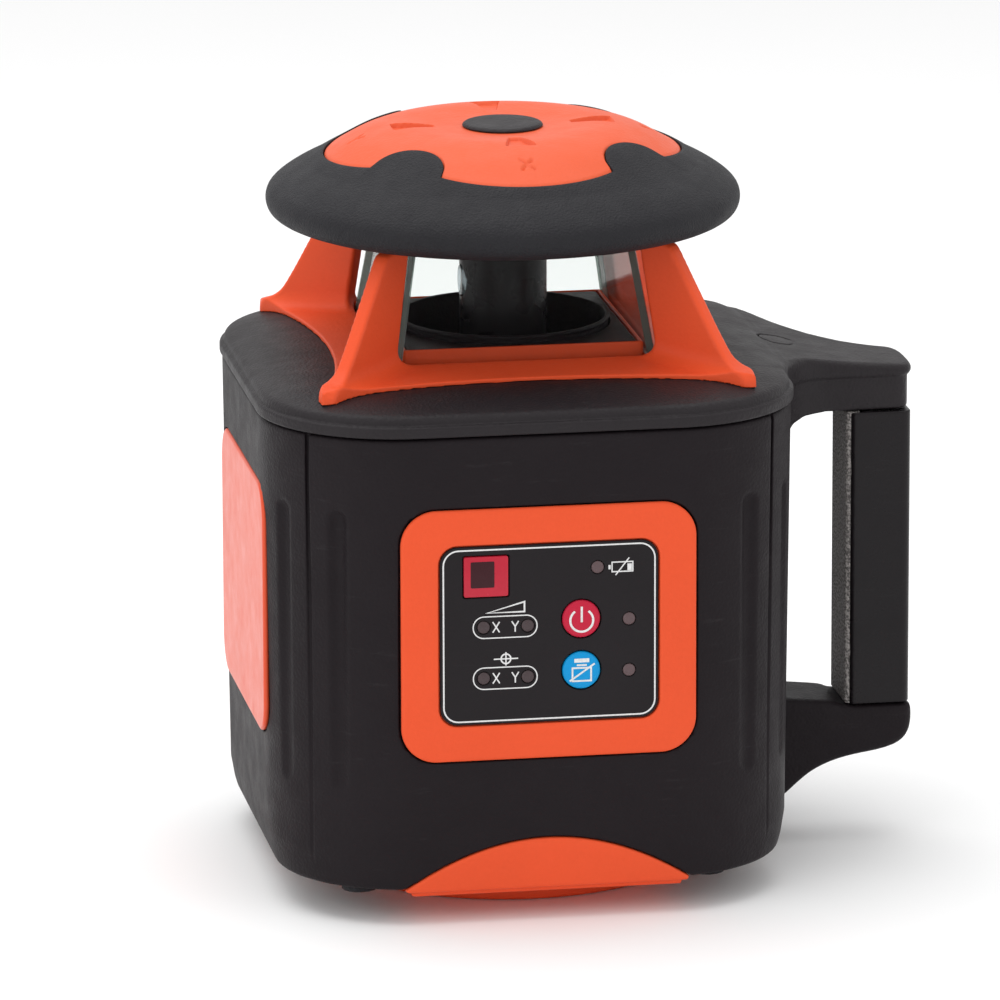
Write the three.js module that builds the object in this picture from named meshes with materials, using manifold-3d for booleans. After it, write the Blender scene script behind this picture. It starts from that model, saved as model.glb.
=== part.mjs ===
// Rotating laser level, millimetres, +Z up.
// The origin is on the rotor's vertical axis, in the plane of the foot.
// +X points at the carrying handle and the keypad faces -Y.
import * as THREE from 'three';
import { mergeVertices } from 'three/addons/utils/BufferGeometryUtils.js';
import Module from 'manifold-3d';

const wasm = await Module();
wasm.setup();

// ---- driving dimensions ----
const GAP = 0.35; // clearance between neighbouring pieces
const WALL = 3; // thickness of the mouldings
const HALF = 74.6; // half width of the square case at its top
const CORNER = 39; // radius of the case's vertical corners
const CORNER_STEPS = 6; // facets in a quarter turn of the case
const FOOT_R = 54;
const SHELL_BOTTOM = 10;
const SEAM = 138.5; // joint between the case and its cover
const RIM_HALF = 75.3; // half width of the cover's overhanging rim
const DECK = 154; // floor inside the lantern
const SEAT = 151; // top of the lantern's base frame at the panes
const CAP_BOTTOM = 184;
const TOP = 211; // overall height
const WELL_R = 28.5; // opening round the rotor
const ROTOR_R = 12.3;
const BEAM_Z = 166; // height of the laser plane
const GIMBAL_Z = 88; // height of both tilt axes
const PANEL_W = 82.5;
const PANEL_H = 71.4;
const PANEL_Z = 82.6;
const PANEL_CORNER = 10;
const FACE = 74.4; // distance from the axis to a panel's outer face
const KEYPAD_W = 61;
const KEYPAD_H = 50.6;
const KEYPAD_Z = 82.6;
const BUTTON_R = 5.3;
const BUTTON_X = 8.9;
const POWER_Z = 86.2; // height of the upper button
const MANUAL_Z = 71.6; // height of the lower button
const LAMP_R = 1.75;
const GRIP_X1 = 115.2; // outermost face of the grip
const GRIP_Z0 = 40;
const GRIP_Z1 = 126;
const GRIP_Y = 12; // half width of the grip
const HINGE_Y = 76.3; // hinge line of the battery door
const HINGE_Z = PANEL_Z - PANEL_H / 2 - 0.6;
const CELL_R = 16.8; // D-size cell
const CELL_L = 61.5;
const FLOOR = SHELL_BOTTOM + WALL; // inside of the case's floor
const TIP = 60; // lantern base, half width at its four tips
const WAIST = 50; // lantern base, half width at mid-side
const PANE_FOOT = 149.5; // lower edge of the panes
const PANE_LOW = 37; // half width across the panes at their lower edge
const LIP = 33.8; // half width of the raised lip behind the panes
const PANE_HIGH = 31.4; // half width across the panes at the cap
const MOTOR_Y = 24; // offset of the drive motor
const ACTUATOR = 44; // distance from the axis to each levelling screw

const COLOURS = {
  orange: { color: 0xf45f37, roughness: 0.42, metalness: 0 },
  black: { color: 0x2a2628, roughness: 0.6, metalness: 0 },
  rubber: { color: 0x3a383a, roughness: 0.85, metalness: 0 },
  greyRubber: { color: 0x8a8482, roughness: 0.9, metalness: 0 },
  gloss: { color: 0x1d1b1e, roughness: 0.25, metalness: 0 },
  membrane: { color: 0x2c292c, roughness: 0.45, metalness: 0 },
  red: { color: 0xcd2846, roughness: 0.4, metalness: 0 },
  blue: { color: 0x0ca3dc, roughness: 0.4, metalness: 0 },
  lamp: { color: 0x5a3a3c, roughness: 0.3, metalness: 0 },
  window: { color: 0x8c1424, roughness: 0.15, metalness: 0 },
  glass: { color: 0xb9c4bc, roughness: 0.05, metalness: 0, transparent: true, opacity: 0.35 },
  brass: { color: 0xb8923c, roughness: 0.35, metalness: 1 },
  steel: { color: 0xb4b6b8, roughness: 0.35, metalness: 1 },
  aluminium: { color: 0xc3c5c8, roughness: 0.4, metalness: 1 },
  board: { color: 0x1f6b3a, roughness: 0.55, metalness: 0 },
  cell: { color: 0x4a6fa5, roughness: 0.4, metalness: 0 },
};

const model = new THREE.Group();

// ---- solids and booleans ----
function signedVolume(geometry) {
  const p = geometry.attributes.position;
  const index = geometry.index.array;
  const a = new THREE.Vector3();
  const b = new THREE.Vector3();
  const c = new THREE.Vector3();
  let sum = 0;
  for (let i = 0; i < index.length; i += 3) {
    a.fromBufferAttribute(p, index[i]);
    b.fromBufferAttribute(p, index[i + 1]);
    c.fromBufferAttribute(p, index[i + 2]);
    sum += a.dot(b.cross(c));
  }
  return sum / 6;
}

// A closed geometry as a solid, with its faces turned outwards.
function solid(source) {
  const bare = source.clone();
  bare.deleteAttribute('normal');
  bare.deleteAttribute('uv');
  const merged = mergeVertices(bare, 1e-4);
  const index = Uint32Array.from(merged.index.array);
  if (signedVolume(merged) < 0) {
    for (let i = 0; i < index.length; i += 3) {
      [index[i], index[i + 1]] = [index[i + 1], index[i]];
    }
  }
  const vertProperties = Float32Array.from(merged.attributes.position.array);
  return new wasm.Manifold(new wasm.Mesh({ numProp: 3, vertProperties, triVerts: index }));
}

function union(...parts) {
  return parts.reduce((sum, part) => sum.add(part));
}

function cut(body, ...tools) {
  return tools.reduce((rest, tool) => rest.subtract(tool), body);
}

// Adds a solid to the model as one named mesh.
function add(name, body, look) {
  const mesh = body.getMesh();
  const geometry = new THREE.BufferGeometry();
  geometry.setAttribute('position', new THREE.BufferAttribute(mesh.vertProperties, 3));
  geometry.setIndex(new THREE.BufferAttribute(mesh.triVerts, 1));
  const flat = geometry.toNonIndexed();
  flat.computeVertexNormals();
  const part = new THREE.Mesh(flat, new THREE.MeshStandardMaterial(COLOURS[look]));
  part.name = name;
  model.add(part);
}

// ---- shape helpers ----
function box(x0, x1, y0, y1, z0, z1) {
  const geometry = new THREE.BoxGeometry(x1 - x0, y1 - y0, z1 - z0);
  geometry.translate((x0 + x1) / 2, (y0 + y1) / 2, (z0 + z1) / 2);
  return solid(geometry);
}

function rodZ(radius, z0, z1, x = 0, y = 0, sides = 20) {
  const geometry = new THREE.CylinderGeometry(radius, radius, z1 - z0, sides);
  geometry.rotateX(Math.PI / 2);
  geometry.translate(x, y, (z0 + z1) / 2);
  return solid(geometry);
}

function rodX(radius, x0, x1, y, z, sides = 12) {
  const geometry = new THREE.CylinderGeometry(radius, radius, x1 - x0, sides);
  geometry.rotateZ(Math.PI / 2);
  geometry.translate((x0 + x1) / 2, y, z);
  return solid(geometry);
}

function rodY(radius, y0, y1, x, z, sides = 12) {
  const geometry = new THREE.CylinderGeometry(radius, radius, y1 - y0, sides);
  geometry.translate(x, (y0 + y1) / 2, z);
  return solid(geometry);
}

// A body of revolution about Z; the profile closes on itself or ends on the axis.
function turned(profile, sides = 24) {
  const points = profile.map(([r, z]) => new THREE.Vector2(r, z));
  const onAxis = profile[0][0] === 0 && profile[profile.length - 1][0] === 0;
  if (!onAxis) points.push(points[0].clone());
  const geometry = new THREE.LatheGeometry(points, sides);
  geometry.rotateX(Math.PI / 2);
  return solid(geometry);
}

function shapeOf(points) {
  return new THREE.Shape(points.map(([x, y]) => new THREE.Vector2(x, y)));
}

// An outline in X and Y, raised from z0 to z1.
function prism(points, z0, z1) {
  const options = { depth: z1 - z0, bevelEnabled: false };
  const geometry = new THREE.ExtrudeGeometry(shapeOf(points), options);
  geometry.translate(0, 0, z0);
  return solid(geometry);
}

// An outline in X and Z, given depth from y0 to y1.
function slabY(points, y0, y1) {
  const options = { depth: y1 - y0, bevelEnabled: false };
  const geometry = new THREE.ExtrudeGeometry(shapeOf(points), options);
  geometry.rotateX(Math.PI / 2);
  geometry.translate(0, y1, 0);
  return solid(geometry);
}

// Corner arcs of a rectangle with rounded corners, anticlockwise from +X.
function rounded(halfX, halfY, radius, steps = 6, cx = 0, cy = 0) {
  const points = [];
  for (let corner = 0; corner < 4; corner += 1) {
    const sx = corner === 0 || corner === 3 ? 1 : -1;
    const sy = corner < 2 ? 1 : -1;
    for (let i = 0; i <= steps; i += 1) {
      const angle = (corner + i / steps) * Math.PI / 2;
      const x = cx + sx * (halfX - radius) + radius * Math.cos(angle);
      const y = cy + sy * (halfY - radius) + radius * Math.sin(angle);
      points.push([x, y]);
    }
  }
  return points;
}

// A closed skin through rings of equal point counts, each { z, points }.
function loft(rings) {
  const count = rings[0].points.length;
  const position = [];
  const index = [];
  for (const ring of rings) {
    for (const [x, y] of ring.points) position.push(x, y, ring.z);
  }
  for (let k = 0; k + 1 < rings.length; k += 1) {
    for (let i = 0; i < count; i += 1) {
      const a = k * count + i;
      const b = k * count + (i + 1) % count;
      index.push(a, b, b + count, a, b + count, a + count);
    }
  }
  const lowCentre = position.length / 3;
  position.push(0, 0, rings[0].z);
  const highCentre = lowCentre + 1;
  position.push(0, 0, rings[rings.length - 1].z);
  const last = (rings.length - 1) * count;
  for (let i = 0; i < count; i += 1) {
    const next = (i + 1) % count;
    index.push(lowCentre, next, i);
    index.push(highCentre, last + i, last + next);
  }
  const geometry = new THREE.BufferGeometry();
  geometry.setAttribute('position', new THREE.Float32BufferAttribute(position, 3));
  geometry.setIndex(index);
  return solid(geometry);
}

// ---- the case ----
// Outside of the case: nearly upright sides that draw in below the skirt line.
function caseBlock(inset, z0 = SHELL_BOTTOM, z1 = SEAM) {
  const levels = [
    [z0, 71, 73, 36],
    [14, 72.2, 73.3, 37],
    [20, 73.3, 73.7, 38],
    [45, 73.7, 74, CORNER],
    [z1, HALF, HALF, CORNER],
  ];
  return loft(levels.map(([z, halfX, halfY, radius]) => ({
    z,
    points: rounded(halfX - inset, halfY - inset, radius - inset, CORNER_STEPS),
  })));
}

// Arched apron of the foot on the case's front, as an outline in X and Z.
function archOutline(inset, z0) {
  const halfSpan = 40.5 - inset;
  const rise = 14 - inset;
  const points = [[halfSpan, z0], [halfSpan, SHELL_BOTTOM]];
  const steps = 14;
  for (let i = 1; i < steps; i += 1) {
    const t = 1 - 2 * i / steps;
    points.push([halfSpan * t, SHELL_BOTTOM + rise * (1 - t * t)]);
  }
  points.push([-halfSpan, SHELL_BOTTOM], [-halfSpan, z0]);
  return points;
}

// Panel outline in X and Z, grown or shrunk by grow.
function panelOutline(grow, width = PANEL_W, height = PANEL_H, radius = PANEL_CORNER) {
  return rounded(width / 2 + grow, height / 2 + grow, radius + grow, 6, 0, PANEL_Z);
}

// Shallow upright flutes on either side of each corner.
function fluteTools() {
  const tools = [];
  const centre = HALF - 0.7 - CORNER;
  const radius = CORNER + 1.6;
  for (let corner = 0; corner < 4; corner += 1) {
    const sx = corner === 0 || corner === 3 ? 1 : -1;
    const sy = corner < 2 ? 1 : -1;
    for (const degrees of [26, 55]) {
      const angle = degrees * Math.PI / 180;
      const x = sx * (centre + radius * Math.cos(angle));
      const y = sy * (centre + radius * Math.sin(angle));
      const geometry = new THREE.CapsuleGeometry(2.4, 76, 2, 6);
      geometry.rotateX(Math.PI / 2);
      geometry.translate(x, y, 78);
      tools.push(solid(geometry));
    }
  }
  return tools;
}

// Lower arm of the handle, an outline in X and Z swept down into the case.
function lowerArm() {
  const end = GRIP_X1 + 0.8;
  const points = [
    [60, 44], [76, 43], [94, 41.4], [95.4, GRIP_Z0], [end - 1, GRIP_Z0], [end, GRIP_Z0 - 1],
    [end, 34], [end - 1, 30.6], [end - 3.5, 28], [end - 8, 26.3], [98, 24.9], [92, 23.2],
    [87, 20.8], [83, 17.6], [79, 13.8], [74, 11.8], [60, 11.8],
  ];
  return slabY(points, -GRIP_Y, GRIP_Y);
}

function buildShell() {
  const hollow = loft([
    { z: SHELL_BOTTOM + WALL, points: rounded(68, 69.4, 33, CORNER_STEPS) },
    { z: 20, points: rounded(70.2, 70.6, 35, CORNER_STEPS) },
    { z: SEAM + 2, points: rounded(HALF - WALL, HALF - WALL, CORNER - WALL, CORNER_STEPS) },
  ]);
  let shell = union(caseBlock(0), lowerArm());
  shell = cut(shell, hollow, ...fluteTools());
  const knuckles = [
    rodX(1.8, -25, -15.4, HINGE_Y, HINGE_Z),
    rodX(1.8, 15.4, 25, HINGE_Y, HINGE_Z),
    box(-25, -15.4, 73.5, HINGE_Y, HINGE_Z - 1.8, HINGE_Z),
    box(15.4, 25, 73.5, HINGE_Y, HINGE_Z - 1.8, HINGE_Z),
  ];
  shell = union(shell, ...knuckles);
  return cut(
    shell,
    slabY(panelOutline(-3.5), -80, -60),
    slabY(panelOutline(GAP), -80, -72.6),
    slabY(panelOutline(GAP), 60, 73.6),
    slabY(panelOutline(GAP, PANEL_W, PANEL_H - 1), 60, 80),
    slabY(panelOutline(GAP), 0, 40).rotate([0, 0, 90]).translate([-72.6, 0, 0]),
    slabY(archOutline(0, 5), -80, -69),
    rodZ(12.6, 5, 14),
    rodX(1.2, -30, 30, HINGE_Y, HINGE_Z),
  );
}

function buildFoot() {
  const ring = turned([
    [12.4, 0.8], [22, 0.8], [24, 3.5], [44, 3.5], [46, 0], [52.5, 0], [FOOT_R, 1.5],
    [FOOT_R, SHELL_BOTTOM - GAP], [12.4, SHELL_BOTTOM - GAP],
  ], 36);
  const tongue = box(-38, 38, -71.5, -38, SHELL_BOTTOM - 2.4, SHELL_BOTTOM - GAP);
  const apron = slabY(archOutline(GAP, SHELL_BOTTOM - 1), -80, -70.2).intersect(caseBlock(0, 4));
  return union(cut(union(ring, tongue), rodZ(12.4, -2, 12)), apron);
}

function buildCase() {
  add('body_shell', buildShell(), 'black');
  add('base_foot', buildFoot(), 'orange');
  add('tripod_insert', turned([
    [7.9, 0.6], [12, 0.6], [12, FLOOR + GAP], [17, FLOOR + GAP], [17, 17], [7.9, 17],
  ], 24), 'brass');
  const padSpots = [[47, -60], [47, 60], [-51, -60], [-51, 60]];
  padSpots.forEach(([x, y], i) => {
    add(`corner_pad_${i + 1}`, rodZ(5, SHELL_BOTTOM - 2, SHELL_BOTTOM - 0.2, x, y, 16), 'rubber');
  });
}

// ---- the cover, with the handle's upper arm ----
function coverBlock(grow) {
  const levels = [
    [SEAM + 0.3, 74.4, 38.4],
    [SEAM + 1.2, RIM_HALF, 39.4],
    [SEAM + 4, RIM_HALF, 39.4],
    [SEAM + 5.8, 74, 38],
    [145.2, 71.5, 36.5],
    [146.6, 64, 32],
    [148, 50, 24],
  ];
  return loft(levels.map(([z, half, radius]) => ({
    z: z + grow,
    points: rounded(half + grow, half + grow, radius + grow, CORNER_STEPS),
  })));
}

// Plan of the upper arm: its rear edge sweeps in from the case's corner.
function upperArmPlan() {
  const end = GRIP_X1 + 0.8;
  const radius = 9;
  const tip = [];
  for (let i = 0; i <= 8; i += 1) {
    const angle = (i / 8 - 0.5) * Math.PI;
    const side = i < 4 ? -GRIP_Y + radius : GRIP_Y + 1 - radius;
    tip.push([end - radius + radius * Math.cos(angle), side + radius * Math.sin(angle)]);
  }
  return [
    [50, -34], [71, -34], [76.5, -24], [81, -16], [87, -GRIP_Y], ...tip,
    [100.6, 18.6], [91.5, 27], [84.5, 36], [77, 50], [50, 50],
  ];
}

// Side of the upper arm: it thickens below towards the case and falls away on top.
function upperArmSide() {
  return [
    [60, 119], [76, 119.4], [79, 123], [84, 125.2], [90, GRIP_Z1], [118, GRIP_Z1],
    [118, 138.4], [100, 140], [88, 141.6], [75, 144.2], [60, 145.2],
  ];
}

function buildCover() {
  const arm = prism(upperArmPlan(), 110, 150)
    .intersect(slabY(upperArmSide(), -80, 80))
    .subtract(caseBlock(-GAP, 100, SEAM + 0.3));
  const deck = loft([
    { z: 140, points: rounded(LIP - 1.4, LIP - 1.4, 1, 3) },
    { z: DECK, points: rounded(LIP - 1.4, LIP - 1.4, 1, 3) },
  ]);
  const hollow = loft([
    { z: SEAM - 1, points: rounded(71.6, 71.6, 36, CORNER_STEPS) },
    { z: 141.5, points: rounded(70.6, 70.6, 35, CORNER_STEPS) },
    { z: 144.8, points: rounded(50, 50, 24, CORNER_STEPS) },
  ]);
  const grown = union(coverBlock(0), arm, deck);
  return cut(grown, hollow, rodZ(WELL_R + 1.5, 120, 170, 0, 0, 32));
}

function buildHandle() {
  const grip = loft([
    { z: GRIP_Z0 + GAP, points: rounded(6.6, GRIP_Y - 0.4, 3, 5) },
    { z: GRIP_Z1 - GAP, points: rounded(6.6, GRIP_Y - 0.4, 3, 5) },
  ]).translate([GRIP_X1 - 6.6, 0, 0]);
  const padRear = GRIP_X1 - 14.2;
  const pad = loft([
    { z: GRIP_Z0 + GAP, points: rounded(2.1, GRIP_Y - 1.4, 1.9, 4) },
    { z: GRIP_Z1 - GAP, points: rounded(2.1, GRIP_Y - 1.4, 1.9, 4) },
  ]).translate([padRear - 2.3, 0, 0]);
  const spine = box(padRear, GRIP_X1 - 12.4, -8, 8, GRIP_Z0 + GAP, GRIP_Z1 - GAP);
  add('handle_grip', union(grip, spine), 'gloss');
  add('grip_pad', pad, 'greyRubber');
}

// ---- keypad side ----
const LAMPS = {
  battery: [13.5, 100.6],
  slope_x: [-18.3, 84.9],
  slope_y: [-6, 84.9],
  cal_x: [-18.3, 70.4],
  cal_y: [-6, 70.4],
  power: [22.3, 85.6],
  manual: [22.3, 71],
};

function keypadOutline(grow) {
  return rounded(KEYPAD_W / 2 + grow, KEYPAD_H / 2 + grow, 5 + grow, 5, 0, KEYPAD_Z);
}

function buildKeypad() {
  const bezel = union(
    slabY(panelOutline(0), -FACE - 0.9, -72.9),
    slabY(panelOutline(-4), -73.2, -70.4),
  );
  add('front_bezel', cut(bezel, slabY(keypadOutline(GAP), -80, -73.8),
    slabY(keypadOutline(-2.4), -80, -60)), 'orange');
  const lampHoles = Object.values(LAMPS).map(([x, z]) => rodY(LAMP_R + 0.15, -80, -60, x, z, 12));
  const irHole = box(-24.1, -11.1, -80, -60, 93.3, 105.3);
  add('keypad', cut(
    slabY(keypadOutline(0), -75, -74.15),
    rodY(BUTTON_R + 0.3, -80, -60, BUTTON_X, POWER_Z, 24),
    rodY(BUTTON_R + 0.3, -80, -60, BUTTON_X, MANUAL_Z, 24),
    irHole,
    ...lampHoles,
  ), 'membrane');
  add('ir_window', box(-23.8, -11.4, -75.1, -73.4, 93.6, 105), 'window');
  for (const [name, [x, z]] of Object.entries(LAMPS)) {
    add(`lamp_${name}`, rodY(LAMP_R, -75.15, -70.2, x, z, 12), 'lamp');
  }
  const buttons = [['power_button', POWER_Z, 'red'], ['manual_button', MANUAL_Z, 'blue']];
  for (const [name, z, look] of buttons) {
    add(name, union(
      rodY(BUTTON_R, -75.6, -73.4, BUTTON_X, z, 24),
      rodY(2.4, -73.5, -70.4, BUTTON_X, z, 12),
    ), look);
  }
  add('keypad_board', box(-27, 27, -69.4, -67.8, 62, 106), 'board');
}

// ---- left panel and battery door ----
function buildSidePanel() {
  const plate = slabY(panelOutline(0), 0, 1.7).rotate([0, 0, 90]);
  return plate.translate([-FACE + 1.7 - 0.3, 0, 0]);
}

function buildDoor() {
  const slot = box(-5.4, 5.4, 60, 80, 106.8, 116.2);
  const lug = union(
    rodX(1.8, -15, 15, HINGE_Y, HINGE_Z),
    box(-14.8, 14.8, 74.6, HINGE_Y, HINGE_Z - 0.4, HINGE_Z + 4),
  );
  const plate = slabY(panelOutline(0, PANEL_W, PANEL_H - 1), FACE - 2.4, FACE + 0.4);
  return cut(union(plate, lug), slot, rodX(1.2, -30, 30, HINGE_Y, HINGE_Z));
}

function buildLatch() {
  return union(
    box(-7.5, 7.5, FACE + 0.7, FACE + 2.5, 105.8, 111.8),
    box(-5, 5, 71, FACE + 1, 107.2, 111.8),
    box(-5, 5, 69.8, 71.3, 107.2, 117),
  );
}

function buildPanels() {
  add('side_panel', buildSidePanel(), 'orange');
  add('battery_door', buildDoor(), 'orange');
  add('door_latch', buildLatch(), 'black');
  add('door_hinge_pin', rodX(0.9, -24.8, 24.8, HINGE_Y, HINGE_Z, 12), 'steel');
  add('battery_tray', cut(
    box(-37, 37, 35.2, 69.2, 47.6, 113),
    box(-35.4, 35.4, 36.8, 75, 49.2, 111.4),
  ), 'black');
  const z0 = 49.5;
  for (const [name, x] of [['battery_cell_1', -17.6], ['battery_cell_2', 17.6]]) {
    add(name, rodZ(CELL_R, z0, z0 + CELL_L, x, 54, 24), 'cell');
  }
}

// ---- lantern ----
// Rings of the star-shaped base share their parameter along each side.
function fourSides(side, steps = 8) {
  const points = [];
  for (let k = 0; k < 4; k += 1) {
    const turn = k * Math.PI / 2;
    for (let i = 0; i < steps; i += 1) {
      const [x, y] = side(-1 + 2 * i / steps);
      points.push([x * Math.cos(turn) - y * Math.sin(turn), x * Math.sin(turn) + y * Math.cos(turn)]);
    }
  }
  return points;
}

function buildLanternFrame() {
  const star = (grow) => fourSides((t) => [(TIP + grow) * t, -(WAIST + grow + (TIP - WAIST) * t * t)]);
  const seat = fourSides((t) => [38.6 * t, -38.6]);
  const base = loft([
    { z: 140, points: star(0) },
    { z: 147.4, points: star(0) },
    { z: 148.6, points: star(-1.2) },
    { z: SEAT, points: seat },
  ]);
  const square = (half, z0, z1) => prism(rounded(half, half, 1, 2), z0, z1);
  const lip = square(LIP, 147, DECK + 0.2);
  const slot = cut(square(37.3, PANE_FOOT - 0.3, 170), lip);
  const opening = square(LIP - 1, 130, 170);
  const fins = [];
  const finOutline = [
    [54, 143], [52.8, DECK], [46.4, 188], [51.2, 188], [51.2, CAP_BOTTOM - GAP],
    [57.8, CAP_BOTTOM - GAP], [63, 175], [72, 160.3], [76.5, 153.6], [81, 149], [81, 143],
  ];
  for (let k = 0; k < 4; k += 1) {
    fins.push(slabY(finOutline, -2, 2).rotate([0, 0, 45 + 90 * k]));
  }
  const topRing = turned([[40, CAP_BOTTOM + GAP], [51.2, CAP_BOTTOM + GAP], [51.2, 188], [40, 188]], 28);
  const clearOfCover = coverBlock(0.35);
  return union(cut(union(base, ...fins, lip), slot, opening, clearOfCover), topRing);
}

function buildPane() {
  const thick = 2;
  const gap = 0.2;
  const ring = (z, outer) => ({
    z,
    points: [
      [outer - gap, -outer], [outer - thick - gap, -outer + thick],
      [-outer + thick + gap, -outer + thick], [-outer + gap, -outer],
    ],
  });
  const geometry = new THREE.BufferGeometry();
  const low = ring(PANE_FOOT, PANE_LOW);
  const high = ring(CAP_BOTTOM, PANE_HIGH);
  const position = [];
  for (const { z, points } of [low, high]) {
    for (const [x, y] of points) position.push(x, y, z);
  }
  geometry.setAttribute('position', new THREE.Float32BufferAttribute(position, 3));
  geometry.setIndex([
    0, 1, 2, 0, 2, 3, 4, 6, 5, 4, 7, 6,
    0, 5, 1, 0, 4, 5, 1, 6, 2, 1, 5, 6, 2, 7, 3, 2, 6, 7, 3, 4, 0, 3, 7, 4,
  ]);
  return solid(geometry);
}

function buildLantern() {
  add('lantern_frame', buildLanternFrame(), 'orange');
  ['pane_front', 'pane_right', 'pane_back', 'pane_left'].forEach((name, k) => {
    add(name, buildPane().rotate([0, 0, 90 * k]), 'glass');
  });
  add('well_collar', turned([
    [WELL_R, 136], [WELL_R + 1.1, 136], [WELL_R + 1.1, DECK + 1.8], [WELL_R + 0.8, DECK + 2.2],
    [WELL_R, DECK + 2.2],
  ], 32), 'black');
}

// ---- cap ----
const CAP_PROFILE = [
  [0, 206.6], [22, 206.6], [38, 204.4], [46.5, 199], [51.6, 190], [51.6, CAP_BOTTOM],
  [60, CAP_BOTTOM], [65.4, 186.2], [66.8, 190], [65.6, 193.8], [59.6, 198.2],
  [49, 203.2], [41, 207.9], [32, 210.5], [25, 210.9], [13, 209.7], [0, 209.6],
];

// Edge between the orange dome and the rubber, with a lobe on each diagonal.
function capEdge(grow) {
  const points = [];
  const steps = 72;
  for (let i = 0; i < steps; i += 1) {
    const degrees = i * 360 / steps;
    const off = Math.abs((degrees % 90) - 45);
    const plain = 50.2 - 0.003 * (45 - off) ** 2;
    const lobe = off < 14 ? 46.5 - 8.5 * Math.sqrt(1 - (off / 14) ** 2) : plain;
    const radius = Math.min(plain, lobe) + grow;
    const angle = degrees * Math.PI / 180;
    points.push([radius * Math.cos(angle), radius * Math.sin(angle)]);
  }
  return points;
}

function buildCap() {
  const whole = turned(CAP_PROFILE, 40);
  const sights = [];
  for (let k = 0; k < 4; k += 1) {
    const wedge = prism([[20, -1.2], [31, -4], [31, 4], [20, 1.2]], 209.6, 214);
    sights.push(wedge.rotate([0, 0, 90 * k]));
  }
  const dome = whole.intersect(prism(capEdge(-0.2), 150, 230));
  add('cap_dome', cut(dome, rodZ(8.4, 190, 230, 0, 0, 24), ...sights), 'orange');
  add('cap_bumper', cut(whole, prism(capEdge(0.15), 150, 230)), 'rubber');
  add('cap_plug', turned([
    [0, 205], [8, 205], [8, 209.95], [11.3, 209.95], [11.3, 210.5], [10.6, TOP], [0, TOP],
  ], 24), 'black');
}

// ---- levelling works and rotor ----
function buildGimbal() {
  const plateHole = [...rounded(27, 27, 26.9, 8)];
  add('chassis', union(
    cut(prism(rounded(62, 62, 40, 6), 116, 119), prism(plateHole, 110, 125),
      box(-13, 13, 0, 36, 110, 125)),
    ...[-1, 1].map((side) => cut(
      box(...(side > 0 ? [28, 34] : [-34, -28]), -6, 6, 82, 117),
      rodX(2.4, -40, 40, 0, GIMBAL_Z),
    )),
  ), 'aluminium');
  const ringBody = turned([[20, 84], [25.4, 84], [25.4, 92], [20, 92]], 24);
  add('gimbal_ring', union(
    cut(ringBody, rodY(2.4, -24.3, 24.3, 0, GIMBAL_Z)),
    rodX(2, 25, 33.6, 0, GIMBAL_Z),
    rodX(2, -33.6, -25, 0, GIMBAL_Z),
    box(-3, 3, -36, -25, 86, 90),
  ), 'aluminium');
  const barrel = turned([
    [0, 59], [15, 59], [15, 114], [9, 116], [9, 140], [0, 140],
  ], 20);
  const flange = union(
    turned([[0, 54], [24, 54], [24, 58], [16, 60.2], [0, 60.2]], 20),
    box(-34.2, -20, -3, 3, 54, 58),
  );
  const motorTab = cut(box(-9, 9, 8, MOTOR_Y + 7.5, 117.6, 120.6), rodZ(2.2, 110, 130, 0, MOTOR_Y));
  add('laser_barrel', cut(union(
    barrel, flange, motorTab,
    turned([[0, 117.6], [15.5, 117.6], [15.5, 120.6], [0, 120.6]], 20),
    rodY(2, 13, 24, 0, GIMBAL_Z),
    rodY(2, -24, -13, 0, GIMBAL_Z),
  ), rodZ(6, 50, 150, 0, 0, 16)), 'aluminium');
  add('laser_module', union(rodZ(5.2, 56, 96), rodZ(3, 95, 104)), 'brass');
  add('vial_x', rodX(3, -12, 12, 12, 50.4), 'glass');
  add('vial_y', rodY(3, -19, 5, 0, 50.4), 'glass');
  add('spindle_bearing', turned([[9.3, 131], [10.9, 131], [10.9, 138], [9.3, 138]], 20), 'steel');
}

function buildRotor() {
  const tube = turned([
    [11.2, 130.4], [15.6, 130.4], [15.6, 132.4], [ROTOR_R, 134], [ROTOR_R, 198.6], [ROTOR_R - 1.4, 200],
    [0, 200], [0, 198], [11.2, 198],
  ], 24);
  add('rotor_tube', cut(tube, rodX(4.6, -20, -6, 0, BEAM_Z)), 'black');
  add('beam_lens', rodX(4.2, -12.3, -11, 0, BEAM_Z, 20), 'glass');
  const half = 5.6;
  add('pentaprism', slabY([
    [-half, BEAM_Z - half], [half, BEAM_Z - half], [half, BEAM_Z + 2], [1.5, BEAM_Z + half],
    [-half, BEAM_Z + half],
  ], -half, half), 'glass');
  add('rotor_pulley', turned([
    [9.6, 124], [17, 124], [17, 124.8], [16, 125], [16, 129], [17, 129.2], [17, 130], [9.6, 130],
  ], 24), 'aluminium');
  add('drive_motor', rodZ(6.4, 96, 117.2, 0, MOTOR_Y), 'steel');
  add('motor_pulley', union(
    rodZ(1.4, 117.6, 125, 0, MOTOR_Y, 12),
    rodZ(5, 124.4, 129.6, 0, MOTOR_Y),
  ), 'brass');
  add('drive_belt', cut(
    prism(beltOutline(17.6, 6.6), 125.4, 128.6),
    prism(beltOutline(16.3, 5.3), 120, 135),
  ), 'rubber');
}

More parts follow.
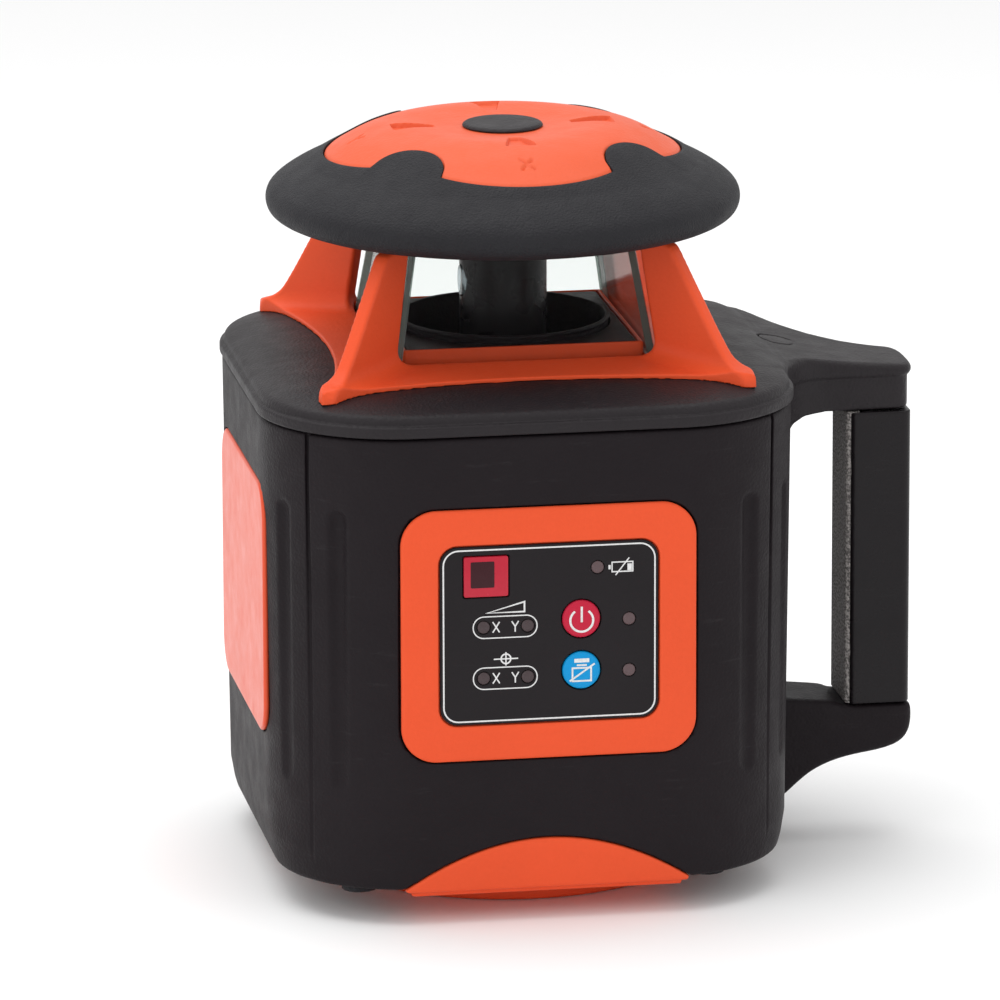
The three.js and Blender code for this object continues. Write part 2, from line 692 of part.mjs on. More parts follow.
// Belt run round both pulleys, as the outline that touches their rims.
function beltOutline(bigRadius, smallRadius) {
  const lean = Math.asin((bigRadius - smallRadius) / MOTOR_Y);
  const points = [];
  const steps = 16;
  for (let i = 0; i <= steps; i += 1) {
    const angle = Math.PI - lean + i / steps * (Math.PI + 2 * lean);
    points.push([bigRadius * Math.cos(angle), bigRadius * Math.sin(angle)]);
  }
  for (let i = 0; i <= steps; i += 1) {
    const angle = lean + i / steps * (Math.PI - 2 * lean);
    points.push([smallRadius * Math.cos(angle), MOTOR_Y + smallRadius * Math.sin(angle)]);
  }
  return points;
}

function buildLevelling() {
  const sites = { x: [-ACTUATOR, 0, 56], y: [0, -ACTUATOR, GIMBAL_Z] };
  for (const [name, [x, y, z]] of Object.entries(sites)) {
    const motor = rodZ(7.5, z - 36, z - 14, x, y);
    add(`level_motor_${name}`, union(motor, rodZ(5, FLOOR + GAP, z - 35, x, y)), 'steel');
    const screw = union(rodZ(2.6, z - 13.6, z + 12, x, y), rodZ(4.4, z - 13.6, z - 11, x, y));
    add(`level_screw_${name}`, screw, 'brass');
    add(`level_nut_${name}`, cut(
      box(x - 6, x + 6, y - 6, y + 6, z - 4, z + 4),
      rodZ(3, z - 10, z + 10, x, y),
    ), 'greyRubber');
  }
  add('main_board', box(-30, 30, -28, 30, 26, 27.6), 'board');
}

buildCase();
add('top_cover', buildCover(), 'black');
buildHandle();
buildKeypad();
buildPanels();
buildLantern();
buildCap();
buildGimbal();
buildRotor();
buildLevelling();

export default model;
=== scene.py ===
"""Looks of the rotating laser level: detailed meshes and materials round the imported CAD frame."""

from math import cos, degrees, hypot, pi, radians, sin

import bpy
import numpy as np
from mathutils import Matrix, Vector


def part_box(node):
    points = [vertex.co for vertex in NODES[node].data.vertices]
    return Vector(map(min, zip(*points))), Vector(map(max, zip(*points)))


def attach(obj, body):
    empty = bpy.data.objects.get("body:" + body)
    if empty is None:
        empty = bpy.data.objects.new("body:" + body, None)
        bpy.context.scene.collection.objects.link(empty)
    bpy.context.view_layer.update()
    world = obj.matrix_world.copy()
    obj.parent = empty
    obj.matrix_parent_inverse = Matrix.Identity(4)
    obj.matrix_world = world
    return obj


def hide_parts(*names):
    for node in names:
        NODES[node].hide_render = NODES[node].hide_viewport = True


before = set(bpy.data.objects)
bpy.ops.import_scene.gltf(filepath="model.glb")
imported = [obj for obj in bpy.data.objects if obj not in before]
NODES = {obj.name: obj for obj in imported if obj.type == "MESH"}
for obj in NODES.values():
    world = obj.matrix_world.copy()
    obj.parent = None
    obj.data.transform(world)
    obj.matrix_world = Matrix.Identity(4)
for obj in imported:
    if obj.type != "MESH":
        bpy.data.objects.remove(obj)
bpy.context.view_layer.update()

MM = 0.001

# ---- dimensions in millimetres, read from the frame where the CAD states them ----


def cad(node):
    """Lowest and highest corner of a CAD node, in millimetres."""
    low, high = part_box(node)
    return np.array(low) / MM, np.array(high) / MM


BEZEL_LOW, BEZEL_HIGH = cad("front_bezel")
KEYPAD_LOW, KEYPAD_HIGH = cad("keypad")
GRIP_LOW, GRIP_HIGH = cad("handle_grip")
PAD_LOW, PAD_HIGH = cad("grip_pad")
COLLAR_LOW, COLLAR_HIGH = cad("well_collar")
SIDE_LOW, SIDE_HIGH = cad("side_panel")
LATCH_LOW, LATCH_HIGH = cad("door_latch")
WINDOW_LOW, WINDOW_HIGH = cad("ir_window")
PLUG_TOP = cad("cap_plug")[1][2]
SEAM = cad("body_shell")[1][2]

SHELL_BOTTOM = 10.0
HALF = 74.6  # half the case's side at its seam
CORNER = 39.0
CORNER_CENTRE = 34.9
RIM_HALF = 75.3
RIM_CORNER = 39.4
WALL = 3.0
GAP = 0.35
RECESS = 72.6  # depth of the pockets that hold the bezel and the side panel
BORE_R = 12.6
WELL_R = 30.0
ARM_FROM = 60.0  # the handle arms start here and run out along +X
PANEL_Z = (BEZEL_LOW[2] + BEZEL_HIGH[2]) / 2
PANEL_HW = (BEZEL_HIGH[0] - BEZEL_LOW[0]) / 2
PANEL_HH = (BEZEL_HIGH[2] - BEZEL_LOW[2]) / 2
PANEL_R = 10.0
KEYPAD_Z = (KEYPAD_LOW[2] + KEYPAD_HIGH[2]) / 2
KEYPAD_HW = (KEYPAD_HIGH[0] - KEYPAD_LOW[0]) / 2
KEYPAD_HH = (KEYPAD_HIGH[2] - KEYPAD_LOW[2]) / 2
KEYPAD_Y = KEYPAD_LOW[1]
GRIP_HY = 12.0
DECK = 154.0
SEAT = 151.0
LIP = 33.8
PANE_FOOT, PANE_TOP = 149.5, 184.0
PANE_LOW, PANE_HIGH = 37.0, 31.4  # half the pane square at its foot and at its top
TIP, WAIST = 60.0, 50.0  # the lantern's base outline on its diagonals and on its sides
BASE_EDGE = 149.1
HINGE_Y = 76.3
HINGE_Z = PANEL_Z - PANEL_HH - 0.6
KNUCKLE_R = 1.8
PIN_HOLE_R = 1.2
ROTOR_R = 12.3
ROTOR_FOOT = 130.4
SIGHT_FLOOR = 209.4


# ---- distance functions ----


def smin(a, b, k):
    """Union of two distances with a fillet of about k."""
    h = np.clip(0.5 + 0.5 * (b - a) / k, 0, 1)
    return b + (a - b) * h - k * h * (1 - h)


def smax(a, b, k):
    """Intersection of two distances with an edge radius of about k."""
    return -smin(-a, -b, k)


def minus(a, b, k=0.5):
    """Distance a with b cut out of it."""
    return smax(a, -b, k)


def rect(x, y, half_x, half_y, radius):
    """Distance to a rounded rectangle."""
    qx = np.abs(x) - half_x + radius
    qy = np.abs(y) - half_y + radius
    outside = np.hypot(np.maximum(qx, 0), np.maximum(qy, 0))
    return outside + np.minimum(np.maximum(qx, qy), 0) - radius


def common(*parts):
    """Intersection of distances with sharp edges."""
    result = parts[0]
    for part in parts[1:]:
        result = np.maximum(result, part)
    return result


def slab(z, z0, z1):
    """Distance to the layer between z0 and z1."""
    return np.maximum(z0 - z, z - z1)


def polygon(x, y, points):
    """Distance to a closed polygon, negative inside."""
    x, y = np.broadcast_arrays(np.asarray(x, float), np.asarray(y, float))
    best = np.full(x.shape, 1e9)
    inside = np.zeros(x.shape, bool)
    for (ax, ay), (bx, by) in zip(points, points[1:] + points[:1]):
        ex, ey = bx - ax, by - ay
        wx, wy = x - ax, y - ay
        t = np.clip((wx * ex + wy * ey) / (ex * ex + ey * ey), 0, 1)
        best = np.minimum(best, (wx - ex * t) ** 2 + (wy - ey * t) ** 2)
        crosses = (ay > y) != (by > y)
        if ey:
            inside ^= crosses & (x < ax + (y - ay) * ex / ey)
    return np.where(inside, -1, 1) * np.sqrt(best)


def bar(x, y, z, a, b, radius):
    """Distance to a capsule from a to b."""
    ax, ay, az = a
    dx, dy, dz = (q - p for p, q in zip(a, b))
    t = ((x - ax) * dx + (y - ay) * dy + (z - az) * dz) / (dx * dx + dy * dy + dz * dz)
    t = np.clip(t, 0, 1)
    return np.sqrt((x - ax - dx * t) ** 2 + (y - ay - dy * t) ** 2 + (z - az - dz * t) ** 2) - radius


def soften(points, radius, steps=4, closed=True):
    """A polyline whose corners are replaced by short curves."""
    count = len(points)
    result = []
    for i, point in enumerate(points):
        if not closed and i in (0, count - 1):
            result.append(tuple(point))
            continue
        p = np.array(point, float)
        before = np.array(points[i - 1], float)
        after = np.array(points[(i + 1) % count], float)
        cut_a = min(radius, 0.48 * np.linalg.norm(before - p))
        cut_b = min(radius, 0.48 * np.linalg.norm(after - p))
        a = p + (before - p) / np.linalg.norm(before - p) * cut_a
        b = p + (after - p) / np.linalg.norm(after - p) * cut_b
        for j in range(steps + 1):
            t = j / steps
            result.append(tuple((1 - t) ** 2 * a + 2 * t * (1 - t) * p + t * t * b))
    return result


# ---- meshes ----


def stand_in(piece, slot, body, *nodes):
    """Say which CAD nodes a piece stands for, which are hidden, and the body that it rides on; the slot
    argument is not used.
    """
    if nodes:
        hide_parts(*nodes)
    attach(piece, body)


def link(name, mesh, material):
    obj = bpy.data.objects.new(name, mesh)
    bpy.context.scene.collection.objects.link(obj)
    if material is not None:
        mesh.materials.append(material)
    return obj


def from_lists(name, vertices, faces, material, angle=32):
    """A smooth-shaded mesh from millimetre coordinates, with edges sharper than angle kept crisp."""
    mesh = bpy.data.meshes.new(name)
    mesh.from_pydata([tuple(c * MM for c in v) for v in vertices], [], faces)
    mesh.validate()
    mesh.update()
    mesh.shade_smooth()
    mesh.set_sharp_from_angle(angle=radians(angle))
    return link(name, mesh, material)


def axis_steps(low, high, coarse, *fine):
    """Grid positions from low to high, closer together inside each (start, end, step) band."""
    positions = [low]
    while positions[-1] < high:
        here = positions[-1]
        step = coarse
        for start, end, size in fine:
            if start - size <= here < end:
                step = min(step, size)
            elif here < start - size:
                step = min(step, max(size, start - size - here))
        positions.append(here + step)
    return np.array(positions)


def mirrored(start, end, step):
    """A band of grid steps on both sides of zero."""
    return (-end, -start, step), (start, end, step)


def sampled(field, axes):
    """A field's values on the whole grid."""
    gx, gy, gz = axes
    values = field(gx[:, None, None], gy[None, :, None], gz[None, None, :])
    return np.broadcast_to(values, (len(gx), len(gy), len(gz)))


def gradient(field, p, step=0.12):
    """The field's slope at each point, by central differences."""
    result = np.empty_like(p)
    for k in range(3):
        shift = np.zeros(3)
        shift[k] = step
        ahead, behind = p + shift, p - shift
        result[:, k] = field(*ahead.T) - field(*behind.T)
    return result / (2 * step)


def skin(name, field, axes, material):
    """The zero surface of a distance field as a quad mesh, with its vertices moved onto the surface."""
    values = sampled(field, axes)
    solid = values < 0
    cells = tuple(n - 1 for n in solid.shape)
    corner_list = [(i, j, k) for i in (0, 1) for j in (0, 1) for k in (0, 1)]
    total = sum(
        solid[i:cells[0] + i, j:cells[1] + j, k:cells[2] + k].astype(np.int8)
        for i, j, k in corner_list
    )
    mixed = (total > 0) & (total < 8)
    number = np.full(cells, -1, np.int64)
    where = np.argwhere(mixed)
    number[mixed] = np.arange(len(where))
    grid = [np.asarray(a, float) for a in axes]
    total_p = np.zeros((len(where), 3))
    hits = np.zeros(len(where))
    for a in corner_list:
        for k in range(3):
            if a[k]:
                continue
            b = list(a)
            b[k] = 1
            ia = where + np.array(a)
            ib = where + np.array(b)
            fa = values[tuple(ia.T)]
            fb = values[tuple(ib.T)]
            change = (fa < 0) != (fb < 0)
            t = np.where(change, fa / np.where(change, fa - fb, 1), 0)
            pa = np.stack([grid[m][ia[:, m]] for m in range(3)], 1)
            pb = np.stack([grid[m][ib[:, m]] for m in range(3)], 1)
            total_p += (pa + (pb - pa) * t[:, None]) * change[:, None]
            hits += change
    points = total_p / hits[:, None]
    for _ in range(2):
        slope = gradient(field, points)
        length2 = np.maximum((slope ** 2).sum(1), 0.05)
        move = -field(*points.T)[:, None] * slope / length2[:, None]
        size = np.linalg.norm(move, axis=1)[:, None]
        points += move * np.minimum(1, 0.5 / np.maximum(size, 1e-9))
    quads = []
    for k in range(3):
        m, n = (k + 1) % 3, (k + 2) % 3
        low = [slice(1, -1)] * 3
        high = [slice(1, -1)] * 3
        low[k] = slice(0, -1)
        high[k] = slice(1, None)
        first, second = solid[tuple(low)], solid[tuple(high)]
        for rising in (True, False):
            spots = np.argwhere(first & ~second if rising else ~first & second)
            base = spots.copy()
            base[:, m] += 1
            base[:, n] += 1
            ring = []
            for dm, dn in ((-1, -1), (0, -1), (0, 0), (-1, 0)):
                cell = base.copy()
                cell[:, m] += dm
                cell[:, n] += dn
                ring.append(number[tuple(cell.T)])
            if not rising:
                ring.reverse()
            quads.append(np.stack(ring, 1))
    quads = np.concatenate(quads)
    mesh = bpy.data.meshes.new(name)
    mesh.from_pydata((points * MM).tolist(), [], quads.tolist())
    mesh.update()
    mesh.shade_smooth()
    slope = gradient(field, points, 0.25)
    slope /= np.maximum(np.linalg.norm(slope, axis=1), 1e-6)[:, None]
    mesh.normals_split_custom_set_from_vertices(slope.tolist())
    return link(name, mesh, material)


def lathe(name, profile, material, steps=64, place=(0, 0, 0), turn=None, angle=32):
    """A closed (radius, height) profile turned about Z, then turned and moved into place."""
    vertices, rows = [], []
    for r, z in profile:
        if r < 1e-6:
            rows.append([len(vertices)] * steps)
            vertices.append((0, 0, z))
        else:
            rows.append(list(range(len(vertices), len(vertices) + steps)))
            for i in range(steps):
                a = 2 * pi * i / steps
                vertices.append((r * cos(a), r * sin(a), z))
    faces = []
    for low, high in zip(rows, rows[1:] + rows[:1]):
        for i in range(steps):
            j = (i + 1) % steps
            ring = [low[i], low[j], high[j], high[i]]
            ring = [v for n, v in enumerate(ring) if v not in ring[:n]]
            if len(ring) > 2:
                faces.append(ring)
    matrix = Matrix.Translation(place)
    if turn is not None:
        matrix = matrix @ turn.to_4x4()
    vertices = [tuple(matrix @ Vector(v)) for v in vertices]
    return from_lists(name, vertices, faces, material, angle)


FACE_FRONT = Matrix.Rotation(radians(90), 3, "X")  # +Z of a turned piece points at -Y


def ribbon(points, width, y_out, y_in, closed=False):
    """A flat stroke in the X-Z plane as vertices and faces, from y_in to y_out."""
    p = [np.array(q, float) for q in points]
    count = len(p)
    left, right = [], []
    for i in range(count):
        before = p[i - 1] if closed or i else p[i]
        after = p[(i + 1) % count] if closed or i < count - 1 else p[i]
        d0 = (p[i] - before) if np.any(p[i] != before) else (after - p[i])
        d1 = (after - p[i]) if np.any(after != p[i]) else d0
        n0 = np.array([-d0[1], d0[0]]) / np.linalg.norm(d0)
        n1 = np.array([-d1[1], d1[0]]) / np.linalg.norm(d1)
        n = n0 + n1
        n /= max(np.linalg.norm(n), 1e-6)
        n *= width / 2 / max(np.dot(n, n0), 0.4)
        left.append(p[i] + n)
        right.append(p[i] - n)
    vertices = []
    for i in range(count):
        for q, y in ((left[i], y_out), (right[i], y_out), (right[i], y_in), (left[i], y_in)):
            vertices.append((q[0], y, q[1]))
    faces = []
    for i in range(count if closed else count - 1):
        a, b = 4 * i, 4 * ((i + 1) % count)
        for k in range(4):
            n = (k + 1) % 4
            faces.append((a + k, a + n, b + n, b + k))
    if not closed:
        faces.append((0, 3, 2, 1))
        e = 4 * (count - 1)
        faces.append((e, e + 1, e + 2, e + 3))
    return vertices, faces


def gathered(name, parts, material):
    """Several (vertices, faces) pairs as one mesh."""
    vertices, faces = [], []
    for v, f in parts:
        start = len(vertices)
        vertices += v
        faces += [tuple(i + start for i in face) for face in f]
    return from_lists(name, vertices, faces, material, 20)


def arc(cx, cz, radius, start, end, steps=20):
    return [
        (cx + radius * cos(radians(start + (end - start) * i / steps)),
         cz + radius * sin(radians(start + (end - start) * i / steps)))
        for i in range(steps + 1)
    ]


def rect_outline(cx, cz, half_w, half_h, radius, steps=6):
    points = []
    for corner, (sx, sz) in enumerate(((1, 1), (-1, 1), (-1, -1), (1, -1))):
        points += arc(cx + sx * (half_w - radius), cz + sz * (half_h - radius), radius,
                      corner * 90, corner * 90 + 90, steps)
    return points


# ---- materials ----


class Nodes:
    """A material's node tree with short calls for the nodes used here."""

    def __init__(self, name):
        self.material = bpy.data.materials.new(name)
        self.material.use_nodes = True
        self.tree = self.material.node_tree
        self.tree.nodes.clear()
        self.output = self.tree.nodes.new("ShaderNodeOutputMaterial")
        self.place = self.tree.nodes.new("ShaderNodeTexCoord").outputs["Object"]

    def node(self, kind, links=None, **values):
        node = self.tree.nodes.new("ShaderNode" + kind)
        for key, value in values.items():
            setattr(node, key, value)
        for socket, source in (links or {}).items():
            if isinstance(source, bpy.types.NodeSocket):
                self.tree.links.new(source, node.inputs[socket])
            else:
                node.inputs[socket].default_value = source
        return node

    def stretched(self, scale):
        node = self.node("Mapping", {"Vector": self.place, "Scale": scale})
        return node.outputs["Vector"]

    def noise(self, scale, detail=3.0, vector=None, roughness=0.55):
        node = self.node("TexNoise", {"Vector": vector or self.place, "Scale": scale,
                                      "Detail": detail, "Roughness": roughness})
        return node.outputs["Fac"]

    def cells(self, scale):
        return self.node("TexVoronoi", {"Vector": self.place, "Scale": scale}).outputs["Distance"]

    def ranged(self, source, low, high, to_low=0.0, to_high=1.0):
        node = self.node("MapRange", {"Value": source, "From Min": low, "From Max": high,
                                      "To Min": to_low, "To Max": to_high})
        return node.outputs["Result"]

    def mixed(self, factor, a, b):
        node = self.node("Mix", data_type="RGBA")
        for socket, value in ((0, factor), (6, a), (7, b)):
            if isinstance(value, bpy.types.NodeSocket):
                self.tree.links.new(value, node.inputs[socket])
            else:
                node.inputs[socket].default_value = value
        return node.outputs[2]

    def sum(self, a, b, operation="ADD"):
        node = self.node("Math", {0: a, 1: b}, operation=operation)
        return node.outputs[0]

    def bump(self, height, distance, strength=1.0, normal=None):
        links = {"Height": height, "Distance": distance, "Strength": strength}
        if normal is not None:
            links["Normal"] = normal
        return self.node("Bump", links).outputs["Normal"]

    def principled(self, links):
        shader = self.node("BsdfPrincipled", links)
        self.tree.links.new(shader.outputs["BSDF"], self.output.inputs["Surface"])
        return self.material


def rgba(r, g, b):
    return (r, g, b, 1.0)


def shaded(colour, factor):
    return rgba(*(min(1.0, c * factor) for c in colour))


def moulded(name, colour, rough, grain, depth, level=0.5, spread=0.10, coat=0.0, scuff=0.5):
    """Moulded plastic or rubber: cloudy colour, uneven gloss, surface grain and faint scuffs."""
    n = Nodes(name)
    cloud = n.noise(22, 4)
    fine = n.noise(900, 2)
    tone = n.ranged(n.sum(cloud, n.sum(fine, 0.35, "MULTIPLY")), 0.45, 0.95)
    base = n.mixed(tone, shaded(colour, 1 - spread), shaded(colour, 1 + spread))
    scratch = n.noise(60, 5, n.stretched((1.0, 1.0, 9.0)), 0.7)
    marks = n.ranged(scratch, 0.62, 0.78, 0.0, scuff)
    base = n.mixed(marks, base, shaded(tuple(c + 0.02 for c in colour), 1.12))
    gloss = n.ranged(n.noise(140, 4), 0.3, 0.7, rough - 0.05, rough + 0.06)
    gloss = n.sum(gloss, n.sum(marks, 0.10, "MULTIPLY"))
    pits = n.sum(n.noise(grain, 3, roughness=0.65), n.cells(grain * 0.7))
    normal = n.bump(pits, depth)
    normal = n.bump(cloud, depth * 3, 0.5, normal)
    return n.principled({
        "Base Color": base, "Roughness": gloss, "Normal": normal,
        "Specular IOR Level": level, "Coat Weight": coat, "Coat Roughness": 0.12,
    })


def speckled(name):
    """Foam-like grip rubber, mid grey with dark and pale flecks."""
    n = Nodes(name)
    flecks = n.ranged(n.noise(1500, 2), 0.42, 0.62)
    base = n.mixed(flecks, rgba(0.10, 0.092, 0.090), rgba(0.50, 0.47, 0.45))
    pale = n.ranged(n.cells(900), 0.02, 0.14, 1.0, 0.0)
    base = n.mixed(n.sum(pale, 0.5, "MULTIPLY"), base, rgba(0.55, 0.52, 0.50))
    base = n.mixed(n.ranged(n.noise(30, 3), 0.4, 0.7, 0, 0.35), base, rgba(0.26, 0.24, 0.235))
    normal = n.bump(n.noise(1100, 4), 0.00018)
    return n.principled({"Base Color": base, "Roughness": n.ranged(flecks, 0, 1, 0.75, 0.92),
                         "Normal": normal, "Specular IOR Level": 0.3})


def metal(name, colour, rough, stretch=(1.0, 1.0, 18.0)):
    """Machined metal with lay marks, dull patches and a few darker pits."""
    n = Nodes(name)
    lay = n.noise(260, 5, n.stretched(stretch), 0.7)
    patches = n.noise(45, 4)
    base = n.mixed(n.ranged(patches, 0.35, 0.7), shaded(colour, 0.78), shaded(colour, 1.08))
    base = n.mixed(n.ranged(n.cells(420), 0.0, 0.10, 0.5, 0.0), base, shaded(colour, 0.35))
    gloss = n.ranged(lay, 0.3, 0.7, rough - 0.08, rough + 0.12)
    return n.principled({"Base Color": base, "Metallic": 1.0, "Roughness": gloss,
                         "Normal": n.bump(lay, 0.00004)})


def circuit(name):
    """Green board with copper runs under the mask, solder dots and fine weave."""
    n = Nodes(name)
    runs = n.node("TexBrick", {"Vector": n.stretched((1.0, 1.0, 1.0)), "Scale": 160.0,
                               "Mortar Size": 0.06, "Color1": rgba(0.010, 0.105, 0.035),
                               "Color2": rgba(0.014, 0.130, 0.045),
                               "Mortar": rgba(0.030, 0.240, 0.085)})
    dots = n.ranged(n.cells(320), 0.10, 0.16, 1.0, 0.0)
    base = n.mixed(dots, runs.outputs["Color"], rgba(0.45, 0.44, 0.40))
    gloss = n.ranged(n.noise(400, 3), 0.3, 0.7, 0.32, 0.5)
    return n.principled({"Base Color": base, "Roughness": gloss,
                         "Normal": n.bump(n.sum(dots, n.noise(700, 2)), 0.0001)})


def cell_wrap(name, low, high):
    """Printed film of a D cell: a dark sleeve with a pale band, a metal end and fine creases."""
    n = Nodes(name)
    split = n.node("SeparateXYZ", {"Vector": n.place}).outputs["Z"]
    band = n.ranged(split, (low + (high - low) * 0.72) * MM, (low + (high - low) * 0.73) * MM)
    base = n.mixed(band, rgba(0.030, 0.060, 0.160), rgba(0.50, 0.49, 0.46))
    tip = n.ranged(split, (high - 1.6) * MM, (high - 1.5) * MM)
    base = n.mixed(tip, base, rgba(0.48, 0.48, 0.49))
    base = n.mixed(n.ranged(n.noise(50, 4), 0.4, 0.8, 0, 0.3), base, rgba(0.10, 0.10, 0.12))
    gloss = n.ranged(n.noise(180, 4), 0.3, 0.7, 0.26, 0.42)
    return n.principled({"Base Color": base, "Roughness": gloss,
                         "Normal": n.bump(n.noise(120, 5), 0.00012)})


def pane_glass(name, tint, share, rough=0.02, deep=0.5):
    """Thin clear pane: what is behind it shows through, under a Fresnel reflection with faint dust."""
    n = Nodes(name)
    dust = n.ranged(n.noise(300, 5), 0.60, 0.82, 0.0, 0.02)
    clear = n.node("BsdfTransparent", {"Color": rgba(*tint)})
    haze = n.node("BsdfPrincipled", {"Base Color": n.mixed(n.noise(60, 3), shaded(tint, deep * 0.7),
                                                           shaded(tint, deep)),
                                     "Roughness": n.ranged(n.noise(90, 3), 0.3, 0.7, rough, rough + 0.06)})
    fresnel = n.node("Fresnel", {"IOR": 1.45}).outputs["Fac"]
    factor = n.sum(n.sum(n.sum(fresnel, 0.55, "MULTIPLY"), dust), share)
    mixer = n.node("MixShader", {0: factor, 1: clear.outputs[0], 2: haze.outputs[0]})
    n.tree.links.new(mixer.outputs[0], n.output.inputs["Surface"])
    return n.material


def printed(name, colour):
    """Screen-printed ink: slightly uneven cover and a dull film."""
    n = Nodes(name)
    base = n.mixed(n.ranged(n.noise(1600, 3), 0.35, 0.7), shaded(colour, 0.82), shaded(colour, 1.0))
    return n.principled({"Base Color": base, "Roughness": n.ranged(n.noise(500, 2), 0.3, 0.7, 0.42, 0.6),
                         "Normal": n.bump(n.noise(2500, 2), 0.00002), "Specular IOR Level": 0.3})


BLACK = moulded("case_plastic", (0.0112, 0.0080, 0.0098), 0.52, 1500, 0.00010, level=0.13)
COVER_BLACK = moulded("cover_plastic", (0.0150, 0.0118, 0.0138), 0.52, 1500, 0.00012, level=0.24)
RUBBER = moulded("bumper_rubber", (0.0135, 0.0130, 0.0158), 0.62, 2100, 0.00022, level=0.24, scuff=0.2)
ORANGE = moulded("orange_plastic", (0.765, 0.086, 0.026), 0.42, 1300, 0.00004, level=0.16,
                 spread=0.04, scuff=0.12)
DOME = moulded("dome_plastic", (0.69, 0.098, 0.034), 0.46, 1300, 0.00005, level=0.20,
               spread=0.03, scuff=0.10)
PANEL = moulded("panel_plastic", (0.70, 0.082, 0.030), 0.34, 1300, 0.00002, level=0.16,
                spread=0.04, coat=0.12, scuff=0.12)
GLOSS = moulded("gloss_black", (0.0085, 0.0065, 0.0078), 0.28, 1500, 0.00003, level=0.20, scuff=0.3)
DARK = moulded("well_black", (0.0050, 0.0042, 0.0048), 0.60, 1500, 0.00008, level=0.10)
FILM = moulded("membrane_film", (0.0120, 0.0095, 0.0110), 0.40, 2200, 0.00004, level=0.16, scuff=0.15)
RED = moulded("red_key", (0.50, 0.012, 0.042), 0.40, 2200, 0.00004, level=0.2, spread=0.05, scuff=0.1)
BLUE = moulded("blue_key", (0.001, 0.27, 0.60), 0.40, 2200, 0.00004, level=0.2, spread=0.05, scuff=0.1)
LAMP = moulded("lamp_lens", (0.105, 0.068, 0.072), 0.34, 1800, 0.00005, level=0.3)
DIM_LAMP = moulded("lamp_lens_dim", (0.058, 0.040, 0.043), 0.34, 1800, 0.00005, level=0.3)
FILTER = moulded("red_filter", (0.48, 0.014, 0.036), 0.22, 1800, 0.00002, level=0.25, coat=0.1, scuff=0.1)
DETECTOR = moulded("detector_black", (0.045, 0.012, 0.016), 0.35, 1800, 0.00003, level=0.15)
PAD = speckled("grip_foam")
WHITE_INK = printed("white_ink", (0.78, 0.78, 0.78))
BRASS = metal("brass_turned", (0.62, 0.43, 0.16), 0.30)
STEEL = metal("steel_turned", (0.55, 0.56, 0.57), 0.32)
ALUMINIUM = metal("aluminium_cast", (0.62, 0.63, 0.65), 0.38, (3.0, 3.0, 3.0))
BOARD = circuit("board_mask")
CELL = cell_wrap("cell_film", *(cad("battery_cell_1")[k][2] for k in (0, 1)))
GLASS = pane_glass("pane_glass", (0.965, 0.975, 0.970), 0.0, deep=0.06)
GLASS_EDGE = pane_glass("pane_edge", (0.42, 0.50, 0.46), 0.55, 0.15)
LENS = pane_glass("lens_glass", (0.86, 0.92, 0.95), 0.25)


# ---- the case ----


def case_half(z):
    """Half sizes and corner radius of the case at a height: it narrows slightly to its foot."""
    levels = (SHELL_BOTTOM, 14.0, 20.0, 45.0, 138.5)
    half_x = np.interp(z, levels, (71.0, 72.2, 73.3, 73.7, HALF))
    half_y = np.interp(z, levels, (73.0, 73.3, 73.7, 74.0, HALF))
    radius = np.interp(z, levels, (36.0, 37.0, 38.0, CORNER, CORNER))
    return half_x, half_y, radius


def case_outside(x, y, z, grow=0.0):
    half_x, half_y, radius = case_half(z)
    return rect(x, y, half_x + grow, half_y + grow, radius + grow)


def panel_shape(u, z, grow, height=0.0):
    """The rounded outline that the bezel, the side panel and the battery door share."""
    return rect(u, z - PANEL_Z, PANEL_HW + grow, PANEL_HH + grow + height, PANEL_R + grow)


LOWER_ARM = soften([
    (58, 44.5), (76, 43), (94, 41.2), (95.4, 40), (115, 40), (116, 39), (116, 34), (115, 30.6),
    (112.5, 28), (107.5, 26.3), (98, 24.9), (92, 23.2), (87, 20.8), (83, 17.6), (79, 13.8),
    (74, 11.8), (58, 11.8),
], 4, 3)


def arch(x, z, inset):
    """The foot's arched apron on the front, as a distance in X and Z."""
    half_span = 40.5 - inset
    rise = 14.0 - inset
    curve = SHELL_BOTTOM + rise * (1 - (x / half_span) ** 2)
    slope = 2 * rise * x / half_span ** 2
    return (z - curve) / np.sqrt(1 + slope ** 2)


def round_the_corner(sx, sy, radius, angle):
    """A point at an angle round the case corner on side (sx, sy)."""
    return (sx * (CORNER_CENTRE + radius * cos(radians(angle))),
            sy * (CORNER_CENTRE + radius * sin(radians(angle))))


